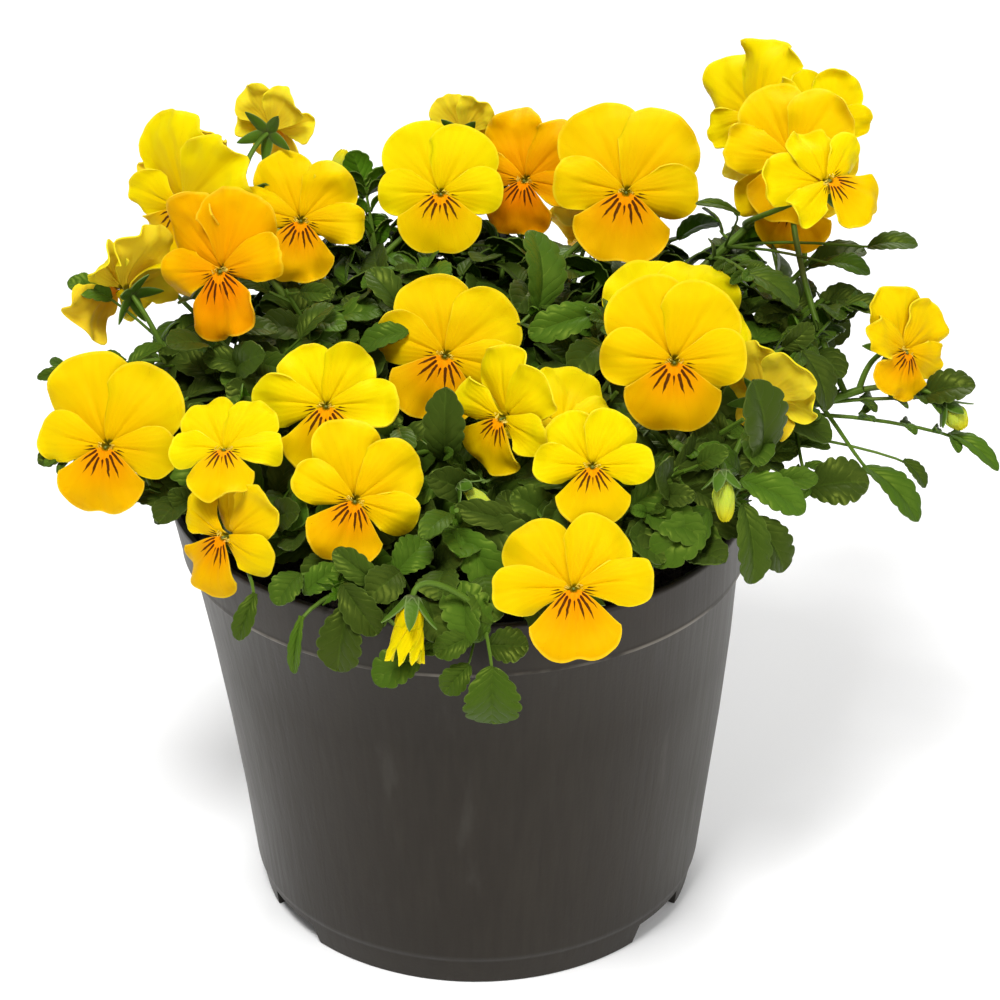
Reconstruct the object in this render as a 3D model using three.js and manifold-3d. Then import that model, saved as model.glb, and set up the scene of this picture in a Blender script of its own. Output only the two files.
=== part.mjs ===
// A yellow pansy plant in full bloom, standing in the thin round pot that it was raised in.
// Millimetres, +Z up. The origin is the middle of the pot's underside and -Y is the front.
import * as THREE from "three";
import { mergeVertices } from "three/addons/utils/BufferGeometryUtils.js";
import Module from "manifold-3d";

// The pot
const POT_HEIGHT = 132;
const RIM_RADIUS = 85;
const BAND_HEIGHT = 17;
const BAND_STEP = 2.2;
const FOOT_RADIUS = 66.5;
const FOOT_HEIGHT = 9;
const WALL = 1.7;
const FLOOR = 2.5;
const POT_SIDES = 32;
const RIM_SHIFT = -5;
const RIM_TILT = 0.022;
const NOTCH_HEIGHT = 6.5;
const NOTCH_HALF_WIDTH = 12.5;
const NOTCH_SLANT = 2;
const NOTCH_DEPTH = 5;
const NOTCH_TURN = 55.5;

// The soil, and the gap that separate pieces keep
const SOIL_TOP = 117;
const SOIL_SIDES = 16;
const SOIL_BUMP = 1.1;
const SOIL_GAP = 0.85;
const GAP = 0.35;
const HOLE_DEPTH = 34;
const HOLE_SIDES = 6;
const STEM_DEPTH = 30;

// Plant tissue
const PETAL_THICKNESS = 0.8;
const PETAL_RIPPLE = 0.012;
const PETAL_FOLD = 0.72;
const LEAF_THICKNESS = 0.7;
const LEAF_CREASE = 0.22;
const STEM_RADIUS = 1.6;
const STEM_SIDES = 4;
const STEM_STOPS = [0, 1 / 3, 0.56, 0.78, 1];
const STALK_RADIUS = 1;
const STALK_SIDES = 3;
const STALK_STOPS = [0, 1 / 3, 2 / 3, 1];
const STALK_NECK = 9;
const STALK_DROP = 14;
const PETIOLE_WIDTH = 1.6;
const JOINT_STEP = 0.035;
const THROAT_RADIUS = 3.4;
const THROAT_DEPTH = 3.6;
const THROAT_MIDDLE = -0.9;
const SEPAL_WAIST = 1.8;
const SEPAL_POSES = [[9, -0.5], [9, -0.9], [9, -1.4], [6.5, -1], [6.5, -1.8], [5, -1.4], [4, -2.2]];
const BUD_SEPAL_FOOT = -1.3;
const BUD_SEPAL_FLARE = 2.8;
const BUD_SEPAL_LEAN = 1.3;

// The five petals: turn of the middle line from straight up, half of the fan, reach as a share of
// the bloom's width, how much shorter the fan's sides are, layer in front of the throat, lean to
// the front, notch in the middle of the edge, and straight steps along the edge.
const PETALS = [
  { turn: 30, span: 47, reach: 0.57, taper: 0.36, layer: -2.7, lean: -0.12, notch: 0, steps: 5,
    isUpper: true },
  { turn: -31, span: 47, reach: 0.56, taper: 0.36, layer: -1.5, lean: -0.09, notch: 0, steps: 5,
    isUpper: true },
  { turn: 86, span: 37, reach: 0.47, taper: 0.42, layer: -0.2, lean: 0, notch: 0, steps: 4 },
  { turn: -86, span: 37, reach: 0.47, taper: 0.42, layer: -0.2, lean: 0, notch: 0, steps: 4 },
  { turn: 180, span: 60, reach: 0.47, taper: 0.24, layer: 1, lean: 0.03, notch: 0.07, steps: 6 },
];

const COLOURS = { lemon: 0xfbe400, golden: 0xfbd000, orange: 0xf5a400 };

// Leafy stems: where each stands in the soil (x, y) and where its tip reaches (x, y, z).
const STEMS = [
  ["front_left", -47, -20, -92, -30, 146],
  ["left", -50, 1, -90, 4, 172],
  ["upper_left", -40, 20, -62, 34, 186],
  ["top_left", -22, 32, -30, 44, 184],
  ["top_right", 8, 32, 24, 54, 182],
  ["tall_right", 32, 24, 86, 52, 196],
  ["right", 54, 2, 112, 0, 162],
  ["right_middle", 34, -6, 60, -18, 166],
  ["middle", 0, 6, -8, 0, 166],
  ["left_middle", -22, -8, -34, -30, 156],
  ["low_left", -42, -38, -66, -56, 141],
  ["front_middle", -2, -20, 16, -48, 148],
  ["back_left", -34, 46, -60, 82, 158],
  ["back_right", 24, 52, 40, 90, 156],
  ["low_right", 46, -28, 72, -55, 153],
  ["front", 6, -46, 0, -86, 139],
  ["far_right", 56, 28, 100, 56, 160],
  ["front_low", -24, -50, -36, -82, 141],
];

// Blooms: throat (x, y, z), turn from the front towards the right, tilt up from level, roll,
// width of the whole flower, colour, how full the petals are (1 is round and closed), and how long
// the upper petals are against the others.
const BLOOMS = [
  ["01", -103.5, -30, 158.5, -8, 25, -5, 43, "golden", 0.92, 1.1],
  ["02", -103, 14, 188.5, -134, 15, 50, 38, "lemon", 0.9, 1],
  ["03", -88.5, 66, 203.5, -160, 10, 0, 30, "golden", 0.85, 1],
  ["04", -86.5, 34, 204.5, -35, 0, -12, 38, "lemon", 0.95, 1.3],
  ["05", -72, -2, 200, -25, 18, 20, 43, "orange", 0.85, 1],
  ["06", -51.5, 36, 200, 5, 25, -12, 41, "golden", 0.85, 0.9],
  ["07", -60, 60, 220, 160, 0, 0, 27, "lemon", 0.85, 1],
  ["08", -10.5, 46, 204.5, 0, 25, 0, 39.5, "lemon", 1, 1],
  ["09", -4, 92, 207.5, 170, 5, 0, 24, "lemon", 0.9, 1],
  ["10", 14.5, 62, 202.5, -15, 20, -8, 38, "orange", 0.85, 1],
  ["11", 44.5, 46, 205, 0, 28, -5, 47, "golden", 0.95, 1.05],
  ["12", 55, -34, 186.5, 0, 22, 0, 43, "golden", 1, 1],
  ["13", 58, 6, 177, 5, 42, 0, 46, "lemon", 1, 1],
  ["14", 83, -22, 170.5, 150, 0, 10, 31, "lemon", 0.9, 1],
  ["15", -8.5, -6, 175.5, 0, 28, -20, 44, "golden", 0.95, 0.97],
  ["16", -41, -36, 174, 0, 32, 0, 44, "lemon", 0.88, 0.75],
  ["17", -68, -52, 168.5, -10, 52, 5, 34, "lemon", 0.85, 0.95],
  ["18", -32, -64, 159, 8, 24, -24, 38, "golden", 0.85, 1],
  ["19", -68, -63, 147.5, -40, 15, -12, 38, "golden", 0.8, 0.9],
  ["20", 7.5, -45, 174.5, -42, 8, -10, 36, "lemon", 0.85, 0.95],
  ["21", 24.5, -36, 168, 25, 52, 0, 37, "lemon", 1, 1],
  ["22", 32, -62, 168.5, 0, 32, 0, 35, "lemon", 0.85, 0.85],
  ["23", 26.5, -90, 146.5, 0, 46, 5, 46, "golden", 0.8, 0.88],
  ["24", 83.5, 70, 219.5, -48, 22, 38, 37, "lemon", 0.85, 1.2],
  ["25", 92.5, 40, 218, -10, 25, 0, 42, "golden", 0.9, 0.95],
  ["26", 106.5, 88, 210.5, 5, 20, 0, 32, "lemon", 0.9, 1],
  ["27", 100, 10, 222.5, 25, 40, 40, 35, "lemon", 0.8, 0.9],
  ["28", 93, 104, 187, 165, 5, 0, 34, "lemon", 0.9, 1],
  ["29", 94, 44, 203, 0, -5, 0, 36, "golden", 1, 0.6],
  ["30", 124, 0, 174, 36, 12, -34, 32, "golden", 0.95, 1],
  ["31", -70, 96, 172, 160, 30, 0, 38, "lemon", 0.9, 1],
  ["32", 40, 104, 170, 175, 30, 5, 38, "golden", 0.9, 1],
];

// Buds: foot and tip of the yellow petals (x, y, z each), and their half width.
const BUDS = [
  ["hanging", -16, -94, 145, -18, -98, 131, 5],
  ["low", 67, -62, 166, 68, -66, 154, 3],
  ["middle", -3, -52, 157, 6, -58, 151, 2.5],
  ["top", -42, 62, 198, -40, 64, 211, 3.5],
  ["far_right", 136, -4, 159, 141, -7, 153, 3.5],
];

// Leaves: foot (x, y, z), tip (x, y, z) and width.
const LEAVES = [
  [78, -45, 162, 78, -52, 187, 16],
  [94, -30, 145, 110, -34, 150, 15],
  [112, -12, 143, 128, -24, 134, 11],
  [73, -52, 156, 90, -60, 149, 11],
  [76, -58, 152, 86, -64, 141, 12],
  [73, -62, 157, 77, -72, 138, 11],
  [46, -62, 154, 62, -70, 152, 11],
  [64, -60, 154, 49, -74, 146, 13],
  [69, -38, 159, 61, -40, 168, 10],
  [129, 0, 159, 142, -6, 167, 12],
  [137, -4, 151, 151, -14, 148, 7],
  [93, -6, 177, 102, -14, 163, 11],
  [107, 12, 185, 124, 8, 185, 9],
  [78, 10, 194, 93, 4, 188, 11],
  [-8, -42, 160, -8, -46, 182, 12],
  [14, -62, 150, -4, -66, 158, 8],
  [-5, -64, 150, 9, -78, 138, 12],
  [23, -58, 149, 11, -58, 158, 11],
  [2, -88, 129, -5, -84, 144, 14],
  [4, -90, 129, 14, -94, 131, 10],
  [5, -96, 126, 5, -99, 109, 16],
  [-1, -90, 130, -10, -94, 126, 8],
  [-14, -88, 126, -26, -96, 122, 11],
  [-35, -82, 143, -26, -92, 134, 10],
  [-33, -84, 141, -37, -92, 128, 13],
  [-25, -80, 140, -37, -78, 148, 8],
  [-47, -74, 142, -53, -82, 138, 9],
  [-46, -84, 136, -49, -90, 123, 4],
  [-59, -76, 137, -64, -82, 126, 6],
  [-21, -72, 141, -13, -66, 148, 11],
  [-115, -6, 170, -125, -8, 170, 4],
  [-116, -24, 153, -123, -28, 153, 8],
  [18, 8, 183, 19, 18, 204, 16],
  [36, 0, 186, 16, -8, 184, 11],
  [-21, 10, 184, -30, 14, 200, 10],
  [-33, 52, 203, -37, 56, 214, 9],
  [-64, -8, 172, -77, -8, 177, 8],
  [46, -30, 160, 52, -36, 154, 10],
];

// Leaves that the stems carry all round towards the far side: this many up each stem.
const FAR_LEAVES = { back_left: 3, back_right: 3, far_right: 2, top_left: 1, top_right: 1, left: 1 };
const FAR_LEAF_LENGTH = 21;
const FAR_LEAF_WIDTH = 14;
const GOLDEN_ANGLE = 137.5;

// Ways to bend a stalk or a leaf clear of its neighbours, the straight one first, and how much one
// step is: sideways and down for a stalk, up and round its own axis (in degrees) for a leaf.
const BENDS = [0, 1, -1, 2, -2, 3, -3, 4, -4, 5, -5];
const LEAF_BENDS = [0, 1, -1, 2, -2];
const TWISTS = [0, 1, -1, 2, -2, 3];
const STALK_BEND = 5;
const STALK_TWIST = 4;
const LEAF_BEND = 3;
const LEAF_TWIST = 14;

const wasm = await Module();
wasm.setup();

const degrees = THREE.MathUtils.degToRad;
const vector = (x, y, z) => new THREE.Vector3(x, y, z);
const UP = vector(0, 0, 1);

// --- closed solids ----------------------------------------------------------------------------

function toSolid(geometry) {
  const bare = geometry.clone();
  bare.deleteAttribute("normal");
  bare.deleteAttribute("uv");
  const merged = mergeVertices(bare, 1e-4);
  const corners = merged.index.array;
  const faces = [];
  for (let i = 0; i < corners.length; i += 3) {
    const [a, b, c] = corners.slice(i, i + 3);
    if (a !== b && b !== c && c !== a) faces.push(a, b, c);
  }
  return new wasm.Manifold(new wasm.Mesh({
    numProp: 3,
    vertProperties: new Float32Array(merged.getAttribute("position").array),
    triVerts: new Uint32Array(faces),
  }));
}

function toGeometry(solid) {
  const mesh = solid.getMesh();
  const geometry = new THREE.BufferGeometry();
  geometry.setAttribute("position", new THREE.BufferAttribute(mesh.vertProperties.slice(), 3));
  geometry.setIndex(new THREE.BufferAttribute(mesh.triVerts.slice(), 1));
  geometry.computeVertexNormals();
  return geometry;
}

function geometryOf(points, faces) {
  const geometry = new THREE.BufferGeometry();
  geometry.setAttribute("position", new THREE.Float32BufferAttribute(points.flatMap((p) => p.toArray()), 3));
  geometry.setIndex(faces.flat());
  return geometry;
}

// A blade: a surface of triangles given a thickness, split alike on both faces.
function blade(points, triangles, thickness) {
  const normals = points.map(() => vector(0, 0, 0));
  const border = new Map();
  for (const [a, b, c] of triangles) {
    const normal = points[b].clone().sub(points[a]).cross(points[c].clone().sub(points[a]));
    for (const corner of [a, b, c]) normals[corner].add(normal);
    for (const [from, to] of [[a, b], [b, c], [c, a]]) {
      if (!border.delete(`${to} ${from}`)) border.set(`${from} ${to}`, [from, to]);
    }
  }
  const side = (sign) => points.map((point, i) =>
    point.clone().addScaledVector(normals[i].normalize(), (sign * thickness) / 2));
  const count = points.length;
  const faces = triangles.flatMap(([a, b, c]) => [[a, b, c], [a + count, c + count, b + count]]);
  for (const [from, to] of border.values()) {
    faces.push([to, from, from + count], [to, from + count, to + count]);
  }
  return toSolid(geometryOf([...side(1), ...side(-1)], faces));
}

// A round stem along a curve, a little thinner at its end, with a ring at each stop on the curve.
function stemAlong(curve, radius, sides, stops) {
  const steps = stops.length - 1;
  const points = [];
  let across = Math.abs(curve.getTangent(0).x) > 0.9 ? vector(0, 1, 0) : vector(1, 0, 0);
  stops.forEach((stop, i) => {
    const centre = curve.getPoint(stop);
    const along = curve.getTangent(stop);
    across = across.clone().addScaledVector(along, -across.dot(along)).normalize();
    const round = along.clone().cross(across);
    const thin = radius * (1 - (0.25 * i) / steps);
    for (let j = 0; j < sides; j += 1) {
      const turn = (2 * Math.PI * j) / sides;
      points.push(centre.clone()
        .addScaledVector(across, thin * Math.cos(turn))
        .addScaledVector(round, thin * Math.sin(turn)));
    }
  });
  const faces = [];
  for (let i = 0; i < steps; i += 1) {
    for (let j = 0; j < sides; j += 1) {
      const here = i * sides + j;
      const next = i * sides + ((j + 1) % sides);
      faces.push([here, next, next + sides], [here, next + sides, here + sides]);
    }
  }
  const last = steps * sides;
  for (let j = 1; j < sides - 1; j += 1) {
    faces.push([0, j + 1, j], [last, last + j, last + j + 1]);
  }
  return toSolid(geometryOf(points, faces));
}

// --- the pot and the soil ---------------------------------------------------------------------

// The soft pot leans a little to the left towards its rim, and its rim droops on the right.
function settle(geometry) {
  const places = geometry.getAttribute("position");
  for (let i = 0; i < places.count; i += 1) {
    const x = places.getX(i);
    const share = Math.max(places.getZ(i), 0) / POT_HEIGHT;
    places.setX(i, x + RIM_SHIFT * share ** 3);
    places.setZ(i, places.getZ(i) - RIM_TILT * x * share ** 4);
  }
  return geometry;
}

function turned(profile, sides) {
  const outline = profile.map(([radius, height]) => new THREE.Vector2(radius, height));
  return settle(new THREE.LatheGeometry(outline, sides).rotateX(Math.PI / 2));
}

const BAND_FOOT = POT_HEIGHT - BAND_HEIGHT;
const WALL_TOP_RADIUS = RIM_RADIUS - 1.6 - BAND_STEP;
const FOOT_TOP_RADIUS = FOOT_RADIUS + 1.6;

// A notch that lets water out where the wall meets the floor, a little narrower at its top.
function drainNotch(turn) {
  const [low, high] = [NOTCH_HALF_WIDTH, NOTCH_HALF_WIDTH - NOTCH_SLANT];
  const outline = new THREE.Shape([[-low, -1], [low, -1], [high, NOTCH_HEIGHT], [-high, NOTCH_HEIGHT]]
    .map(([across, height]) => new THREE.Vector2(across, height)));
  const notch = new THREE.ExtrudeGeometry(outline, { depth: 3 * NOTCH_DEPTH, bevelEnabled: false });
  notch.translate(0, 0, FOOT_RADIUS - NOTCH_DEPTH);
  notch.rotateX(Math.PI / 2);
  notch.rotateZ(degrees(turn));
  return toSolid(notch);
}

function makePot() {
  const profile = [
    [0, 0], [FOOT_RADIUS - 0.8, 0], [FOOT_RADIUS, 1], [FOOT_TOP_RADIUS, FOOT_HEIGHT],
    [WALL_TOP_RADIUS, BAND_FOOT - 1], [RIM_RADIUS - 1.6, BAND_FOOT], [RIM_RADIUS, POT_HEIGHT - 1.2],
    [RIM_RADIUS - 0.8, POT_HEIGHT], [RIM_RADIUS - 2, POT_HEIGHT], [WALL_TOP_RADIUS - WALL, BAND_FOOT - 1],
    [FOOT_TOP_RADIUS - WALL, FOOT_HEIGHT], [FOOT_RADIUS - 4, FLOOR], [0, FLOOR],
  ];
  let pot = toSolid(turned(profile, POT_SIDES));
  for (const side of [NOTCH_TURN, 180 - NOTCH_TURN, 180 + NOTCH_TURN, -NOTCH_TURN]) {
    pot = pot.subtract(drainNotch(side));
  }
  return pot;
}

function makeSoil(holes) {
  const inside = WALL_TOP_RADIUS - WALL;
  const profile = [
    [0, FLOOR + GAP], [FOOT_RADIUS - 5, FLOOR + GAP],
    [FOOT_TOP_RADIUS - WALL - SOIL_GAP, FOOT_HEIGHT], [inside - SOIL_GAP, BAND_FOOT - 3],
    [52, SOIL_TOP], [26, SOIL_TOP + 1.5], [0, SOIL_TOP + 2],
  ];
  const mound = turned(profile, SOIL_SIDES);
  const places = mound.getAttribute("position");
  for (let i = 0; i < places.count; i += 1) {
    const [x, y, z] = [places.getX(i), places.getY(i), places.getZ(i)];
    if (z > SOIL_TOP - 2) places.setZ(i, z + SOIL_BUMP * Math.sin(x * 0.21 + 1) * Math.cos(y * 0.17));
  }
  return wasm.Manifold.difference([toSolid(mound), ...holes]);
}

// --- blooms -----------------------------------------------------------------------------------

// A bloom's own frame: +Z looks out of the flower's face and +Y towards its upper petals.
function bloomFrame([, x, y, z, turn, tilt, roll]) {
  const [east, rise] = [degrees(turn), degrees(tilt)];
  const out = vector(Math.sin(east) * Math.cos(rise), -Math.cos(east) * Math.cos(rise), Math.sin(rise));
  const right = UP.clone().cross(out).normalize();
  const top = out.clone().cross(right);
  const frame = new THREE.Matrix4().makeBasis(right, top, out);
  frame.multiply(new THREE.Matrix4().makeRotationZ(degrees(roll)));
  return frame.setPosition(x, y, z);
}

// A point of a petal: across runs from -1 to 1 over the fan, and out from 0 to 1 to its edge.
function petalPoint(petal, width, full, crown, across, out) {
  const angle = degrees(petal.turn + petal.span * full * across);
  const length = petal.reach * width * (petal.isUpper ? crown : 1);
  const dip = petal.notch * Math.exp(-((across / 0.2) ** 2));
  const reach = length * (1 - petal.taper * Math.abs(across) ** 3 - dip) * out;
  const ripple = PETAL_RIPPLE * width * Math.sin(across * 5 + petal.turn) * out ** 2;
  const height = petal.layer + petal.lean * reach + ripple;
  return vector(-Math.sin(angle) * reach, Math.cos(angle) * reach, height);
}

function petalBlade(petal, width, full, crown) {
  const { steps } = petal;
  const points = [0, PETAL_FOLD].map((out) => petalPoint(petal, width, full, crown, 0, out));
  for (let i = 0; i <= steps; i += 1) {
    points.push(petalPoint(petal, width, full, crown, (2 * i) / steps - 1, 1));
  }
  const triangles = [[0, 2, steps + 2], [1, steps + 2, 2]];
  for (let i = 2; i < steps + 2; i += 1) triangles.push([1, i, i + 1]);
  return blade(points, triangles, PETAL_THICKNESS);
}

function makeBloom(bloom) {
  const outline = [[0, -THROAT_DEPTH], [THROAT_RADIUS, 0], [0, THROAT_DEPTH]]
    .map(([radius, height]) => new THREE.Vector2(radius, height));
  const throat = new THREE.LatheGeometry(outline, 3).rotateX(Math.PI / 2).translate(0, 0, THROAT_MIDDLE);
  const petals = PETALS.map((petal) => petalBlade(petal, bloom[7], bloom[9], bloom[10]));
  return wasm.Manifold.union([toSolid(throat), ...petals]).transform(bloomFrame(bloom).elements);
}

// --- buds -------------------------------------------------------------------------------------

function budFrame([, x, y, z, tipX, tipY, tipZ]) {
  const foot = vector(x, y, z);
  const out = vector(tipX, tipY, tipZ).sub(foot).normalize();
  const right = (Math.abs(out.z) > 0.95 ? vector(0, 1, 0) : UP).clone().cross(out).normalize();
  const frame = new THREE.Matrix4().makeBasis(right, out.clone().cross(right), out);
  return frame.setPosition(foot);
}

function budLength([, x, y, z, tipX, tipY, tipZ]) {
  return vector(x, y, z).distanceTo(vector(tipX, tipY, tipZ));
}

// The rolled petals of a bud: a slim body with blunt ends.
function makeBudPetals(bud) {
  const [length, half] = [budLength(bud), bud[7]];
  const outline = [[0, 0], [half * 0.45, 1.2], [half, length * 0.5], [half * 0.8, length * 0.8], [0, length]]
    .map(([radius, height]) => new THREE.Vector2(radius, height));
  const body = new THREE.LatheGeometry(outline, 7).rotateX(Math.PI / 2);
  return toSolid(body).transform(budFrame(bud).elements);
}

// --- leaves, stalks and stems -----------------------------------------------------------------

// Small leaves have fewer scallops to a side.
const scallopsOf = (width) => (width > 10 ? 3.5 : 2.5);

// Half of a leaf's width along it: narrow at the foot, broad and round towards the tip, scalloped.
function leafHalfWidth(width, along) {
  const body = 1.5 * Math.sqrt(along) * Math.sqrt(Math.max(1 - along ** 2.6, 0));
  const scallop = 1 - 0.2 * (1 - Math.abs(Math.sin(Math.PI * scallopsOf(width) * along))) ** 1.5;
  return (width / 2) * Math.min(body, 1) * scallop;
}

function leafFrame(foot, tip, lift) {
  const axis = tip.clone().sub(foot).normalize();
  const outward = vector(foot.x + tip.x, foot.y + tip.y, 0).normalize();
  const face = outward.multiplyScalar(0.5).add(vector(0, foot.y > 30 ? 0.3 : -0.45, 0.7));
  face.addScaledVector(axis, -face.dot(axis)).normalize();
  face.applyAxisAngle(axis, lift);
  return { axis, face, side: axis.clone().cross(face) };
}

function leafPoint({ foot, tip, width, lift }, along, across) {
  const { axis, face, side } = leafFrame(foot, tip, lift);
  const length = foot.distanceTo(tip);
  const half = leafHalfWidth(width, along);
  const rise = 0.1 * length * Math.sin(Math.PI * along) - 0.16 * length * along ** 2;
  return foot.clone()
    .addScaledVector(axis, length * along)
    .addScaledVector(side, half * across)
    .addScaledVector(face, rise + LEAF_CREASE * half * Math.abs(across));
}

// A leaf and its flat winged petiole, which runs down to the leafy stem, in one blade.
function leafBlade(leaf, root) {
  const steps = 2 * scallopsOf(leaf.width);
  const foot = leafPoint(leaf, 0, 0);
  const { side } = leafFrame(leaf.foot, leaf.tip, leaf.lift);
  const points = [leafPoint(leaf, 0.5, 0)];
  for (const sign of [-1, 1]) {
    for (const place of [root, foot]) {
      points.push(place.clone().addScaledVector(side, (sign * PETIOLE_WIDTH) / 2));
    }
  }
  const edge = [2];
  const addPoint = (along, across) => {
    edge.push(points.length);
    points.push(leafPoint(leaf, along, across));
  };
  for (let i = 1; i < steps; i += 1) addPoint(i / steps, -1);
  addPoint(1, 0);
  for (let i = steps - 1; i > 0; i -= 1) addPoint(i / steps, 1);
  edge.push(4);
  const triangles = [[1, 3, 4], [1, 4, 2]];
  edge.forEach((corner, i) => triangles.push([edge[(i + 1) % edge.length], corner, 0]));
  return blade(points, triangles, LEAF_THICKNESS);
}

// Five sepals in one ring: behind an open bloom they lean back, round a bud they stand forward.
function sepalRing(frame, back, reach, lean) {
  const points = [];
  const triangles = [[8, 0, 2], [8, 2, 4], [8, 4, 6]];
  for (let i = 0; i < 5; i += 1) {
    const turn = (2 * Math.PI * i) / 5;
    const tip = turn + Math.PI / 5;
    points.push(vector(-SEPAL_WAIST * Math.sin(turn), SEPAL_WAIST * Math.cos(turn), back));
    points.push(vector(-reach * Math.sin(tip), reach * Math.cos(tip), back + lean * (reach - SEPAL_WAIST)));
    triangles.push([2 * i, 2 * i + 1, (2 * i + 2) % 10]);
  }
  return blade(points, triangles, LEAF_THICKNESS).transform(frame.elements);
}

function stemCurve([, x, y, tipX, tipY, tipZ]) {
  const low = vector(x, y, SOIL_TOP - STEM_DEPTH);
  const ground = vector(x, y, SOIL_TOP + 4);
  const tip = vector(tipX, tipY, tipZ);
  const middle = ground.clone().lerp(tip, 0.4).add(vector(0, 0, 0.22 * (tipZ - SOIL_TOP)));
  return new THREE.CatmullRomCurve3([low, ground, middle, tip]);
}

// The plain hole in the soil that a stem stands in.
function holeFor([, x, y]) {
  const radius = (STEM_RADIUS + 1.5 * GAP) / Math.cos(Math.PI / HOLE_SIDES);
  const length = 2 * HOLE_DEPTH;
  const hole = new THREE.CylinderGeometry(radius, radius, length, HOLE_SIDES).rotateX(Math.PI / 2);
  return toSolid(hole.translate(x, y, SOIL_TOP));
}

// The nearest free joint to a point on each leafy stem's upper part, the nearest stem first.
function nearestOnStems(point, choices) {
  return choices.map((stem) => {
    const joints = stem.joints.filter((joint) => !joint.isTaken);
    joints.sort((one, other) => one.place.distanceTo(point) - other.place.distanceTo(point));
    return { stem, joint: joints[0], gap: joints[0].place.distanceTo(point) };
  }).sort((one, other) => one.gap - other.gap);
}

// --- putting it together ----------------------------------------------------------------------

const taken = [];

// Whether a solid keeps its gap to all that stands already, apart from its own stem's pieces.
// Strictly, it also keeps clear of the blades on its own stem.
function isClear(solid, owner, isStrict = false) {
  const box = solid.boundingBox();
  return taken.every((other) => {
    if (other.owner === owner && !(isStrict && other.isBlade)) return true;
    for (let i = 0; i < 3; i += 1) {
      if (box.min[i] > other.box.max[i] + GAP || box.max[i] < other.box.min[i] - GAP) return true;
    }
    return solid.minGap(other.solid, GAP) >= GAP;
  });
}

function keep(solid, owner, isBlade = false) {
  taken.push({ solid, owner, isBlade, box: solid.boundingBox() });
}

const nodes = [];

function addNode(name, solid, colour, roughness) {
  nodes.push({ name, solid, colour, roughness });
}

function addPiece(name, solid, colour, roughness) {
  addNode(name, solid, colour, roughness);
  keep(solid, name);
}

addPiece("pot", makePot(), 0x3c3832, 0.5);
addPiece("soil", makeSoil(STEMS.map(holeFor)), 0x2a211a, 0.95);
for (const bloom of BLOOMS) {
  addPiece(`bloom_${bloom[0]}`, makeBloom(bloom), COLOURS[bloom[8]], 0.55);
}
for (const bud of BUDS) addPiece(`bud_${bud[0]}`, makeBudPetals(bud), COLOURS.lemon, 0.55);

const leafyStems = STEMS.map((stem) => {
  const curve = stemCurve(stem);
  const solid = stemAlong(curve, STEM_RADIUS, STEM_SIDES, STEM_STOPS);
  keep(solid, stem[0]);
  const joints = [];
  for (let along = 0.5; along < 0.995; along += JOINT_STEP) {
    joints.push({ place: curve.getPoint(along), isTaken: false });
  }
  return { name: stem[0], curve, parts: [solid], joints };
});

function attach(stem, solid, isBlade = false) {
  keep(solid, stem.name, isBlade);
  stem.parts.push(solid);
}

// A stalk from its stem to the back of a bloom or bud, hooked over at the top.
function stalkTo(frame, back) {
  const head = vector(0, 0, back).applyMatrix4(frame);
  const behind = vector(0, 0, back - STALK_NECK).applyMatrix4(frame);
  const roots = nearestOnStems(behind.clone().add(vector(0, 0, -STALK_DROP)), leafyStems);
  for (const { stem, joint } of roots.slice(0, 6)) {
    const { place } = joint;
    const across = head.clone().sub(place).cross(UP).normalize();
    for (const isStrict of [true, false]) {
      for (const twist of TWISTS) {
        for (const bend of BENDS) {
          const low = place.clone().lerp(behind, 0.45).addScaledVector(across, STALK_BEND * bend);
          low.z -= STALK_TWIST * twist;
          const high = behind.clone().addScaledVector(UP, -3);
          high.addScaledVector(across, 0.3 * STALK_BEND * bend);
          const curve = new THREE.CubicBezierCurve3(place, low, high, head);
          const solid = stemAlong(curve, STALK_RADIUS, STALK_SIDES, STALK_STOPS);
          if (!isClear(solid, stem.name, isStrict)) continue;
          joint.isTaken = true;
          return { stem, solid };
        }
      }
    }
  }
  throw new Error("a flower stalk finds no clear way");
}

for (const bloom of BLOOMS) {
  const frame = bloomFrame(bloom);
  const back = THROAT_MIDDLE - THROAT_DEPTH - 1;
  const { stem, solid } = stalkTo(frame, back);
  attach(stem, solid);
  const ring = SEPAL_POSES.map(([reach, lean]) => sepalRing(frame, back, reach, lean))
    .find((candidate) => isClear(candidate, stem.name));
  if (ring) attach(stem, ring, true);
}
for (const bud of BUDS) {
  const frame = budFrame(bud);
  const { stem, solid } = stalkTo(frame, BUD_SEPAL_FOOT);
  attach(stem, solid);
  const ring = sepalRing(frame, BUD_SEPAL_FOOT, bud[7] + BUD_SEPAL_FLARE, BUD_SEPAL_LEAN);
  if (isClear(ring, stem.name)) attach(stem, ring, true);
}

// A leaf from its nearest stem. One that finds no clear place is left out, as a crowded plant does.
function addLeaf(foot, tip, width) {
  const [{ stem, joint }] = nearestOnStems(foot, leafyStems);
  for (const isStrict of [true, false]) {
    for (const twist of TWISTS) {
      for (const bend of LEAF_BENDS) {
        const shift = vector(0, 0, LEAF_BEND * bend);
        const leaf = {
          foot: foot.clone().addScaledVector(shift, 0.5),
          tip: tip.clone().add(shift),
          width,
          lift: degrees(LEAF_TWIST * twist),
        };
        const body = leafBlade(leaf, joint.place);
        if (!isClear(body, stem.name, isStrict)) continue;
        attach(stem, body, true);
        joint.isTaken = true;
        return;
      }
    }
  }
}

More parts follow.
